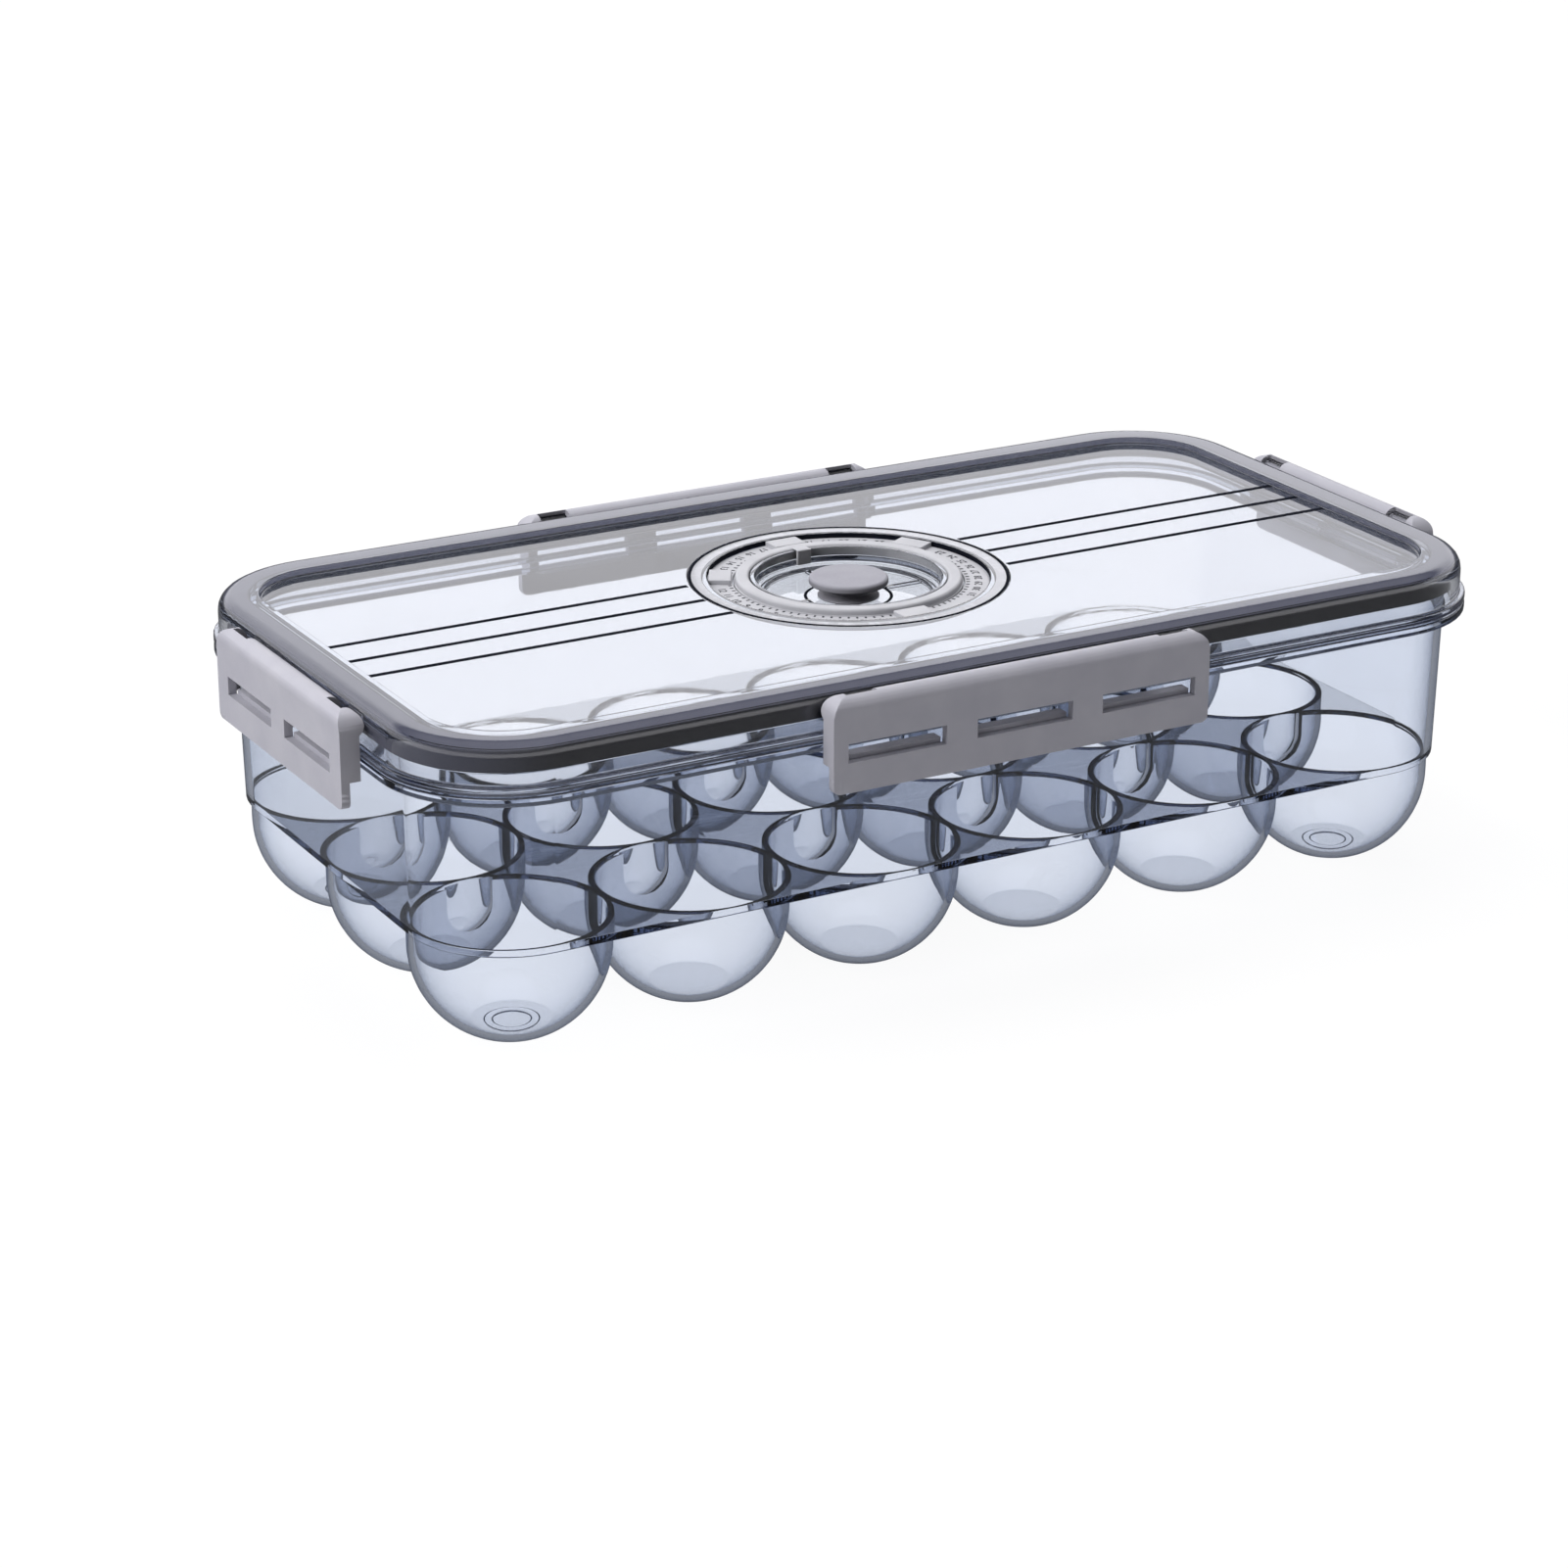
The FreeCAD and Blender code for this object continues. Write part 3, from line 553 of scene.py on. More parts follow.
@dataclass
class Tray:
    """Clear tray: deck with cups, flared wall, flange, sealing upstand and ring feet."""

    finishes: Finishes
    grid: Grid
    cup_radius: float = 23.0
    cup_wall: float = 1.6
    cup_straight: float = 7.4
    cup_floor_radius: float = 10.2
    mouth_round: float = 0.5
    deck_thickness: float = 1.6
    wall_foot: float = 24.0
    wall_flare: float = 1.0
    wall_thickness: float = 1.8
    wall_height: float = 38.0
    flange_reach: float = 5.2
    flange_thickness: float = 2.3
    upstand: float = 4.7
    foot_radius: float = 6.8
    foot_width: float = 2.0
    foot_height: float = 0.6
    edge_round: float = 0.5
    turn_steps: int = 64

    def __post_init__(self) -> None:
        """Works out the heights from the CAD tray's top."""
        self.top = level("tray", True)
        self.flange_top = self.top - self.upstand
        self.flange_low = self.flange_top - self.flange_thickness
        self.deck_top = self.flange_low - self.wall_height
        self.deck_low = self.deck_top - self.deck_thickness
        self.cup_centre = self.deck_top - self.cup_straight
        self.cup_outer = self.cup_radius + self.cup_wall
        self.ledge = (self.wall_foot - self.cup_radius - self.mouth_round) / 2

    def wall_out(self, height: float) -> float:
        """Gives the flared wall's outer growth at a height."""
        share = (height - self.deck_low) / (self.top - self.deck_low)
        return self.wall_foot + self.wall_thickness + self.wall_flare * share

    def wall_section(self) -> list[Point]:
        """Gives the section from the deck up the wall, round the flange and back under the deck.

        Returns:
            The section's points.
        """
        soft, inner = self.edge_round, self.wall_foot + self.wall_flare
        reach = self.wall_out(self.top) + self.flange_reach
        return rounded([
            (self.wall_foot - self.ledge, self.deck_top, 0),
            (self.wall_foot, self.deck_top, soft / 2),
            (inner, self.top, soft),
            (self.wall_out(self.top), self.top, soft),
            (self.wall_out(self.flange_top), self.flange_top, soft),
            (reach, self.flange_top, soft),
            (reach, self.flange_low, soft),
            (self.wall_out(self.flange_low), self.flange_low, soft),
            (self.wall_out(self.deck_low), self.deck_low, soft),
            (self.wall_out(self.deck_low) - 2 * soft, self.deck_low, 0)])

    def hollow_section(self) -> list[Point]:
        """Gives the inside of a cup, from the mouth down to the middle of its floor.

        Returns:
            The section's points.
        """
        mouth = self.mouth_round
        lean = math.degrees(math.acos(self.cup_floor_radius / self.cup_radius))
        bowl = arc((0, self.cup_centre), self.cup_radius, 0, -lean, steps=18)
        soft = self.edge_round
        return [
            *arc((self.cup_radius + mouth, self.deck_top - mouth), mouth, 90, 180, steps=4),
            *bowl[:-1],
            (self.cup_floor_radius, bowl[-1][1]),
            (self.cup_floor_radius - soft, bowl[-1][1]),
            (self.cup_floor_radius / 2, bowl[-1][1]),
            (0.0, bowl[-1][1])]

    def shell_section(self, foot: bool) -> list[Point]:
        """Gives the outside of a cup, from under the deck down to the middle of its base.

        Args:
            foot: True for a cup that has a ring foot.

        Returns:
            The section's points.
        """
        base = self.foot_height
        flat = math.sqrt(self.cup_outer ** 2 - (self.cup_centre - base) ** 2)
        lean = math.degrees(math.acos(flat / self.cup_outer))
        bowl = arc((0, self.cup_centre), self.cup_outer, 0, -lean, steps=20)
        soft = self.edge_round / 2
        inner = self.foot_radius - self.foot_width
        ring = rounded([(flat - soft, base, 0), (self.foot_radius, base, soft), (self.foot_radius, 0, soft),
                        (inner, 0, soft), (inner, base, soft), (inner / 2, base, 0)], steps=3)
        under = ring if foot else [(flat - soft, base), (inner, base)]
        return [(self.cup_outer, self.deck_low), *bowl, *under, (0.0, base)]

    def add_shell(self, mesh: Mesh, column: int, row: int, centre: Point) -> None:
        """Adds the outside of one cup, cut off half way to its neighbours.

        Args:
            mesh: Mesh of the tray.
            column: Place of the cup along X.
            row: Place of the cup along Y.
            centre: Its centre.
        """
        grid = self.grid
        last_column, last_row = grid.columns - 1, grid.rows - 1
        shell = bmesh.new()
        corner = column in (0, last_column) and row in (0, last_row)
        sweep(shell, self.shell_section(corner), turned(self.turn_steps, centre))
        half_x, half_y = grid.half_x / last_column, grid.half_y / last_row
        cuts = ((column > 0, (-half_x, 0)), (column < last_column, (half_x, 0)),
                (row > 0, (0, -half_y)), (row < last_row, (0, half_y)))
        for has_neighbour, (step_x, step_y) in cuts:
            if has_neighbour:
                spot = Vector((centre[0] + step_x, centre[1] + step_y, 0)) * MM
                parts = list(shell.verts) + list(shell.edges) + list(shell.faces)
                bmesh.ops.bisect_plane(shell, geom=parts, dist=CUT_MM * MM, plane_co=spot,
                                       plane_no=Vector((step_x, step_y, 0)), clear_outer=True)
        take_in(mesh, shell)

    def build(self) -> None:
        """Builds and settles the tray."""
        mesh = bmesh.new()
        sweep(mesh, self.wall_section(), self.grid.stations())
        for column, row, centre in self.grid.centres():
            sweep(mesh, self.hollow_section(), turned(self.turn_steps, centre))
            self.add_shell(mesh, column, row, centre)
        bmesh.ops.remove_doubles(mesh, verts=mesh.verts, dist=WELD_MM * MM)
        fill_level(mesh, self.deck_top)
        fill_level(mesh, self.deck_low)
        settle(piece("tray_shell", mesh, self.finishes.tray), Body.TRAY.value, "tray")


@dataclass
class Lid:
    """Clear lid: plate with lines, raised rim, skirt, lip, seal channel, hinge lugs, and its seal."""

    finishes: Finishes
    grid: Grid
    skirt_in: float = 28.6
    skirt_thickness: float = 2.0
    lip_reach: float = 1.4
    lip_thickness: float = 2.2
    rim_width: float = 10.6
    rim_round: float = 4.0
    plate_sink: float = 1.8
    plate_thickness: float = 2.0
    seal_play: float = 0.1
    seal_width: float = 5.8
    downstand: float = 1.8
    edge_round: float = 0.5
    channel_round: float = 0.3
    seat_round: float = 0.2
    seat_radius: float = 41.2
    hole_radius: float = 37.6
    seat_depth: float = 1.3
    line_width: float = 1.8
    line_pitch: float = 12.0
    line_proud: float = 0.06
    line_gap: float = 0.1
    lug_radius: float = 2.0
    lug_arm: float = 1.6
    lug_width: float = 8.0
    lug_inset: float = 9.0
    eye_radius: float = 1.06
    turn_steps: int = 96

    def __post_init__(self) -> None:
        """Works out heights and growths from the CAD lid."""
        self.top, self.low = level("lid", True), level("lid", False)
        self.seal_low, self.seal_top = level("lid_gasket", False), level("lid_gasket", True)
        self.plate_top = self.top - self.plate_sink
        self.plate_low = self.plate_top - self.plate_thickness
        self.skirt_out = self.skirt_in + self.skirt_thickness
        self.recess = self.skirt_out - self.rim_width

    def section(self) -> list[Point]:
        """Gives the section from the plate over the rim, down the skirt and back under the plate.

        Returns:
            The section's points.
        """
        soft, fine = self.edge_round, self.channel_round
        lip_out, lip_top = self.skirt_out + self.lip_reach, self.low + self.lip_thickness
        stand_out = self.skirt_in - self.seal_width - 2 * self.seal_play
        stand_in = stand_out - self.downstand
        inner = self.recess - 2 * soft
        return rounded([
            (inner, self.plate_top, 0), (self.recess, self.plate_top, soft),
            (self.recess, self.top, soft), (self.skirt_out, self.top, self.rim_round),
            (self.skirt_out, lip_top, fine), (lip_out, lip_top, soft), (lip_out, self.low, soft),
            (self.skirt_in, self.low, fine), (self.skirt_in, self.seal_top, fine),
            (stand_out, self.seal_top, fine), (stand_out, self.seal_low, fine),
            (stand_in, self.seal_low, fine), (stand_in, self.plate_low, soft), (inner, self.plate_low, 0)])

    def seat_section(self) -> list[Point]:
        """Gives the section of the step that the dial sits in."""
        fine, seat = self.seat_round, self.plate_top - self.seat_depth
        return rounded([
            (self.seat_radius + 2 * fine, self.plate_top, 0), (self.seat_radius, self.plate_top, fine),
            (self.seat_radius, seat, fine), (self.hole_radius, seat, fine),
            (self.hole_radius, self.plate_low, fine),
            (self.hole_radius + 2 * fine, self.plate_low, 0)], steps=3)

    def add_lugs(self, mesh: Mesh) -> None:
        """Adds the eight hinge lugs, an eye and an arm each, at the clips' pivots.

        Args:
            mesh: Mesh of the lid.
        """
        for joint in frame["joints"]:
            if joint["child"] not in Clip.NODES:
                continue
            pivot = Vector(joint["pos_m"]) / MM
            out = Vector((pivot.x, pivot.y, 0)).normalized()
            along = Vector((-out.y, out.x, 0))
            low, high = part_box(joint["child"])
            half = abs((high - low).dot(along)) / MM / 2 - self.lug_inset
            half_grid = self.grid.half_x if abs(out.x) > abs(out.y) else self.grid.half_y
            arm = pivot.dot(out) - half_grid - self.skirt_in - self.skirt_thickness / 2
            radius, arm_top = self.lug_radius, self.lug_arm - self.lug_radius
            lean = math.degrees(math.asin(arm_top / radius))
            outline = [(-arm, -radius), *arc((0, 0), radius, -90, 180 - lean, steps=16), (-arm, arm_top)]
            eye = arc((0, 0), self.eye_radius, 360, 0, steps=20)[:-1]
            for side in (-1, 1):
                middle = pivot + along * (half * side)

                def place(x: float, y: float, step: float, middle: Vector = middle) -> Vector:
                    """Gives a lug's vertex."""
                    return middle + out * x + Vector((0, 0, y)) + along * step

                prism(mesh, [outline, eye], place, self.lug_width)
            LOG.info("lugs for %s", joint["child"])

    def build_lines(self) -> None:
        """Builds the dark lines along the plate, which the dial interrupts."""
        mesh = bmesh.new()
        half, proud = self.line_width / 2, self.line_proud
        end = self.grid.half_x + self.recess - self.line_gap
        # The lines are painted shade: dark strips laid on the plate where its grooves look dark.
        strip = rounded([
            (-half, -proud, 0), (half, -proud, 0),
            (half, proud, proud), (-half, proud, proud)], closed=True, steps=2)
        for step in (-1, 0, 1):
            middle = self.line_pitch * step
            start = math.sqrt((self.seat_radius + self.edge_round) ** 2 - (abs(middle) - half) ** 2)
            for side in (-1, 1):
                def place(x: float, y: float, along: float, middle: float = middle, start: float = start,
                          side: int = side) -> Vector:
                    """Gives a line's vertex."""
                    return Vector((side * (start + end) / 2 + along, middle + x, self.plate_top + y))

                prism(mesh, [strip], place, end - start)
        settle(piece("lid_painted_shade_lines", mesh, self.finishes.ink), Body.LID.value)

    def build(self) -> None:
        """Builds and settles the lid, its lines and its seal."""
        mesh = bmesh.new()
        sweep(mesh, self.section(), self.grid.stations())
        sweep(mesh, self.seat_section(), turned(self.turn_steps))
        bmesh.ops.remove_doubles(mesh, verts=mesh.verts, dist=WELD_MM * MM)
        fill_level(mesh, self.plate_top)
        fill_level(mesh, self.plate_low)
        self.add_lugs(mesh)
        settle(piece("lid_shell", mesh, self.finishes.clear), Body.LID.value, "lid")
        self.build_lines()

        seal = bmesh.new()
        outer = self.skirt_in - self.seal_play
        inner, soft = outer - self.seal_width, self.edge_round
        section = rounded([
            (inner, self.seal_low, soft), (outer, self.seal_low, soft),
            (outer, self.seal_top, soft), (inner, self.seal_top, soft)], closed=True)
        sweep(seal, section, self.grid.stations(), closed=True)
        settle(piece("lid_seal", seal, self.finishes.seal), Body.LID.value, "lid_gasket")


@dataclass
class Clip:
    """Swinging clip, softened at every edge."""

    NODES = ("front_clip", "back_clip", "left_clip", "right_clip")

    finishes: Finishes
    node: str
    edge_round: float = 0.4
    flat_deg: float = 0.6
    soft_deg: float = 32.0
    round_steps: int = 3
    corner_round: float = 4.4
    corner_steps: int = 6
    foot_round: float = 5.0
    foot_corner: float = 1.8
    cut_fuzz: float = 1e-4

    def round_corners(self, mesh: Mesh) -> None:
        """Rounds the two upper corners of the clip as seen from outside.

        Args:
            mesh: Mesh of the clip.
        """
        low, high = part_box(self.node)
        along = 0 if high.x - low.x > high.y - low.y else 1
        radius = self.corner_round * MM
        side, top = high[along] - radius, high.z - radius
        for step in range(self.corner_steps):
            reach = radius * math.sin(math.pi / 2 * step / self.corner_steps)
            for axis, spot in ((along, side + reach), (along, -side - reach), (2, top + reach)):
                normal = Vector((0, 0, 0))
                normal[axis] = 1.0
                parts = list(mesh.verts) + list(mesh.edges) + list(mesh.faces)
                bmesh.ops.bisect_plane(mesh, geom=parts, dist=self.cut_fuzz * MM, plane_co=normal * spot,
                                       plane_no=normal)
        for vert in mesh.verts:
            across, rise = abs(vert.co[along]) - side, vert.co.z - top
            apart = math.hypot(across, rise)
            if across > 0 and rise > 0 and apart > radius:
                vert.co[along] = math.copysign(side + across * radius / apart, vert.co[along])
                vert.co.z = top + rise * radius / apart

    def square_feet(self, mesh: Mesh) -> None:
        """Draws the two lower corners of the clip out to a smaller rounding.

        Args:
            mesh: Mesh of the clip.
        """
        low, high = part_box(self.node)
        along = 0 if high.x - low.x > high.y - low.y else 1
        radius, corner = self.foot_round * MM, self.foot_corner * MM
        side, foot = high[along] - radius, low.z + radius
        square = radius - corner
        for vert in mesh.verts:
            across, drop = abs(vert.co[along]) - side, foot - vert.co.z
            apart = math.hypot(across, drop)
            if min(across, drop) <= 0 or abs(apart - radius) > self.edge_round * MM / 4:
                continue
            cosine, sine = across / apart, drop / apart
            reach = radius / max(cosine, sine)
            if reach * min(cosine, sine) > square:
                inward = square * (cosine + sine)
                reach = inward + math.sqrt(inward ** 2 - 2 * square ** 2 + corner ** 2)
            vert.co[along] = math.copysign(side + reach * cosine, vert.co[along])
            vert.co.z = foot - reach * sine

    def build(self) -> None:
        """Builds and settles the clip from its solid, with soft edges."""
        mesh = bmesh.new()
        mesh.from_mesh(frame["nodes"][self.node].data)
        bmesh.ops.remove_doubles(mesh, verts=mesh.verts, dist=WELD_MM * MM)
        flat = math.radians(self.flat_deg)
        bmesh.ops.dissolve_limit(mesh, angle_limit=flat, verts=mesh.verts, edges=mesh.edges)
        self.square_feet(mesh)
        self.round_corners(mesh)
        sharp = [edge for edge in mesh.edges if edge.is_manifold
                 and edge.calc_face_angle() > math.radians(self.soft_deg)]
        bmesh.ops.bevel(mesh, geom=sharp, offset=self.edge_round * MM, offset_type="OFFSET",
                        segments=self.round_steps, profile=0.5, affect="EDGES", clamp_overlap=True)
        settle(piece(f"{self.node}_moulding", mesh, self.finishes.clip), self.node, self.node)


@dataclass
class Dial:
    """Dial in the lid: clear cup, two turning rings with marks, and the vent plug."""

    finishes: Finishes
    radius: float = 41.0
    flange: float = 3.6
    flange_thickness: float = 0.9
    wall: float = 1.2
    ring_depth: float = 2.8
    ring_play: float = 0.2
    ring_rest: float = 0.2
    ring_thickness: float = 1.2
    ring_split: float = 0.3
    date_share: float = 0.62
    bead_share: float = 0.92
    bead_height: float = 1.65
    tab_width: float = 9.0
    tab_height: float = 1.2
    tab_angles: tuple[float, ...] = (-90.0, 30.0, 90.0, 150.0)
    bar_width: float = 4.0
    bar_thickness: float = 1.0
    bar_drop: float = 3.6
    bar_gap: float = 0.25
    well_radius: float = 24.0
    well_depth: float = 5.5
    ledge_width: float = 2.4
    ledge_depth: float = 4.1
    well_floor: float = 1.4
    rib_width: float = 1.0
    rib_height: float = 0.7
    ribs: int = 4
    knob_radius: float = 10.2
    knob_cap: float = 2.0
    knob_round: float = 0.9
    plug_rest: float = 0.05
    neck_radius: float = 5.2
    base_height: float = 1.0
    stem_radius: float = 3.4
    bulb_radius: float = 4.6
    bulb_height: float = 2.2
    hole_play: float = 0.1
    edge_round: float = 0.25
    mark_count: int = 31
    mark_pitch_deg: float = 8.0
    mark_height: float = 2.9
    mark_proud: float = 0.05
    tick_count: int = 90
    tick_length: float = 0.9
    tick_width: float = 0.5
    seam_width: float = 0.8
    liner: float = 0.1
    turn_steps: int = 96

    def __post_init__(self) -> None:
        """Works out radii and heights from the CAD dial."""
        self.top = level("dial_cup", True)
        self.low = level("dial_cup", False)
        self.floor = self.low + self.well_floor
        self.plate_top = self.floor + self.well_depth
        self.barrel_out = self.radius - self.flange
        self.barrel_in = self.barrel_out - self.wall
        self.hub_out = self.well_radius + self.wall
        self.ring_floor = self.top - self.ring_depth
        self.ring_low = self.ring_floor + self.ring_rest
        self.ring_top = self.ring_low + self.ring_thickness
        self.month_in = self.hub_out + self.ring_play
        self.date_out = self.barrel_in - self.ring_play
        width = self.date_out - self.month_in - self.ring_split
        self.date_in = self.date_out - width * self.date_share
        self.month_out = self.date_in - self.ring_split
        self.ledge = self.plate_top - self.ledge_depth
        self.step_radius = self.well_radius - self.ledge_width

    def revolved(self, corners: Sequence[Corner], steps: int = 4) -> Mesh:
        """Turns a closed section about the dial's axis.

        Args:
            corners: The section's corners with their roundings.
            steps: Chords in each rounding.

        Returns:
            The mesh.
        """
        mesh = bmesh.new()
        sweep(mesh, rounded(corners, closed=True, steps=steps), turned(self.turn_steps), closed=True)
        return mesh

    def build_cup(self) -> None:
        """Builds the clear cup that the rings turn in."""
        soft, wall, hole = self.edge_round, self.wall, self.stem_radius + self.hole_play
        flange_low = self.top - self.flange_thickness
        corners = [
            (hole, self.low, soft), (self.step_radius + wall, self.low, soft),
            (self.step_radius + wall, self.ledge - wall, soft), (self.hub_out, self.ledge - wall, soft),
            (self.hub_out, self.ring_floor - wall, soft), (self.barrel_out, self.ring_floor - wall, soft),
            (self.barrel_out, flange_low, soft), (self.radius, flange_low, soft),
            (self.radius, self.plate_top, soft), (self.barrel_out, self.top, soft),
            (self.barrel_in, self.top, soft), (self.barrel_in, self.ring_floor, soft),
            (self.hub_out, self.ring_floor, soft),
            (self.hub_out, self.plate_top, soft), (self.well_radius, self.plate_top, soft),
            (self.well_radius, self.ledge, soft), (self.step_radius, self.ledge, soft),
            (self.step_radius, self.floor, soft), (hole, self.floor, soft)]
        made = piece("dial_cup_shell", self.revolved(corners), self.finishes.clear)
        settle(made, Body.LID.value, "dial_cup")

    def add_block(self, mesh: Mesh, low: Vector, high: Vector, turn_deg: float) -> None:
        """Adds a block with soft edges, turned about the dial's axis.

        Args:
            mesh: Mesh that gets the block.
            low: Lowest corner before the turn.
            high: Highest corner.
            turn_deg: Angle of the turn.
        """
        block = bmesh.new()
        bmesh.ops.create_cube(block, size=1.0)
        size = high - low
        bmesh.ops.transform(block, verts=block.verts, matrix=Matrix.Translation((low + high) / 2 * MM)
                            @ Matrix.Diagonal((*(size * MM), 1.0)))
        bmesh.ops.bevel(block, geom=list(block.edges), offset=self.edge_round * MM, segments=3, profile=0.5,
                        affect="EDGES", clamp_overlap=True)
        turn = Matrix.Rotation(math.radians(turn_deg), 4, "Z")
        bmesh.ops.transform(block, verts=block.verts, matrix=turn)
        take_in(mesh, block)

    def build_rings(self) -> None:
        """Builds the two turning rings with their tabs and bar."""
        soft = self.edge_round
        date = self.revolved([
            (self.date_in, self.ring_low, soft), (self.date_out, self.ring_low, soft),
            (self.date_out, self.ring_top, soft), (self.date_in, self.ring_top, soft)])
        edge, half = self.ring_split, self.tab_width / 2
        for angle in self.tab_angles:
            self.add_block(date, Vector((self.date_in + edge, -half, self.ring_top - soft)),
                           Vector((self.date_out - edge, half, self.ring_top + self.tab_height)), angle)
        made = piece("date_ring_moulding", date, self.finishes.ring)
        settle(made, Body.DATE.value, "date_ring")

        bead_top = self.ring_top + self.bead_height
        bead_round = self.bead_height / 2
        bead_out = self.month_in + (self.month_out - self.month_in) * self.bead_share
        month = self.revolved([
            (self.month_in, self.ring_low, soft), (self.month_out, self.ring_low, soft),
            (self.month_out, self.ring_top, soft / 2), (bead_out, self.ring_top, soft / 2),
            (bead_out, bead_top, bead_round), (self.month_in, bead_top, bead_round)])
        bar_out, half = self.well_radius - self.bar_gap, self.bar_width / 2
        bar_in = bar_out - self.bar_thickness
        self.add_block(month, Vector((bar_in, -half, self.plate_top - self.bar_drop)),
                       Vector((bar_out, half, bead_top)), 90)
        self.add_block(month, Vector((bar_in, -half, self.plate_top + self.bar_gap)),
                       Vector((self.month_in + bead_round, half, bead_top)), 90)
        made = piece("month_ring_moulding", month, self.finishes.ring)
        settle(made, Body.MONTH.value, "month_ring")

    def mark_angles(self) -> list[float]:
        """Gives the angle of each day's number, in the gaps between the tabs.

        Returns:
            The angles in degrees, clockwise from the first gap.
        """
        free = []
        half_tab = math.degrees(self.tab_width / 2 / self.date_in) + self.mark_pitch_deg / 4
        start = angle = self.tab_angles[0]
        while len(free) < self.mark_count and angle > start - 360:
            apart = [abs((angle - tab + 180) % 360 - 180) for tab in self.tab_angles]
            if min(apart) > half_tab:
                free.append(angle)
            angle -= self.mark_pitch_deg
        return free

    def build_marks(self) -> None:
        """Builds the day numbers on the date ring."""
        mesh = bmesh.new()
        middle = (self.date_in + self.tick_length + self.date_out) / 2
        for day, angle in enumerate(self.mark_angles(), 1):
            text = bpy.data.curves.new("day", "FONT")
            text.body = str(day)
            text.size = self.mark_height * MM
            text.align_x, text.align_y = "CENTER", "CENTER"
            text.extrude = self.mark_proud * MM
            text.resolution_u = 2
            writing = bpy.data.objects.new("day", text)
            bpy.context.scene.collection.objects.link(writing)
            made = plain_mesh("day", writing)
            place = (Matrix.Rotation(math.radians(angle + 90), 4, "Z")
                     @ Matrix.Translation((0, -middle * MM, self.ring_top * MM)))
            made.data.transform(place)
            mesh.from_mesh(made.data)
            bpy.data.objects.remove(made)
        settle(piece("day_numbers", mesh, self.finishes.ink, smooth_deg=30.0), Body.DATE.value)
        tick = (self.tick_length, self.tick_width, 2 * self.mark_proud)
        reach = self.date_in + self.tick_length
        ticks = BarCircle("day_ticks", self.tick_count, reach, self.ring_top, tick, self.finishes.ink)
        ticks.build(Body.DATE, Slot.SEAL)

    def build_lines(self) -> None:
        """Builds the dial's dark lines: its seam, a painted shade on the barrel's inner wall and a painted
        shadow in a ring round the plug's foot.
        """
        mesh = bmesh.new()
        thin, seam = self.liner, self.radius - self.seam_width
        foot = self.knob_radius + self.seam_width / 2
        sections = (
            (seam, self.radius, self.plate_top - thin, self.plate_top + thin / 2),
            # Painted shade on the barrel's inner wall, under the flange.
            (self.barrel_in - thin, self.barrel_in + thin, self.ring_top + thin, self.top - 2 * thin),
            # Painted shadow on the well floor round the plug's foot, under its knob.
            (foot, foot + self.seam_width, self.floor - thin, self.floor + thin))
        for inner, outer, low, high in sections:
            corners = [(inner, low, 0), (outer, low, 0), (outer, high, thin / 2), (inner, high, thin / 2)]
            sweep(mesh, rounded(corners, closed=True, steps=2), turned(self.turn_steps), closed=True)
        settle(piece("dial_seam_and_painted_shade", mesh, self.finishes.ink), Body.LID.value)

    def build_plug(self) -> None:
        """Builds the soft vent plug."""
        low, top = level("vent_plug", False), level("vent_plug", True)
        base_low, cap_low = self.floor + self.plug_rest, top - self.knob_cap
        soft = self.edge_round
        mesh = bmesh.new()
        section = rounded([
            (0, low, 0), (self.stem_radius, low, soft), (self.bulb_radius, low + self.bulb_height, soft),
            (self.stem_radius, low + self.bulb_height, soft), (self.stem_radius, base_low, soft),
            (self.knob_radius, base_low, soft), (self.neck_radius, base_low + self.base_height, soft * 2),
            (self.neck_radius, cap_low, soft), (self.knob_radius, cap_low, soft * 2),
            (self.knob_radius, top, self.knob_round), (0, top, 0)])
        sweep(mesh, section, turned(self.turn_steps))
        made = piece("vent_plug_moulding", mesh, self.finishes.plug)
        settle(made, Body.PLUG.value, "vent_plug")

    def build(self) -> None:
        """Builds every piece of the dial."""
        self.build_cup()
        self.build_lines()
        inner = self.knob_radius + self.rib_width
        length = self.step_radius - inner
        rib = (length, self.rib_width, self.rib_height)
        height = self.floor + self.rib_height / 2
        ribs = BarCircle("well_ribs", self.ribs, inner + length / 2, height, rib, self.finishes.clear)
        ribs.build(Body.LID, Slot.CLEAR)
        self.build_rings()
        self.build_marks()
        self.build_plug()
        seal = frame["nodes"]["dial_seal"]
        if not seal.material_slots:
            seal.data.materials.append(self.finishes.pale_seal)
        for slot in seal.material_slots:
            slot.material = self.finishes.pale_seal


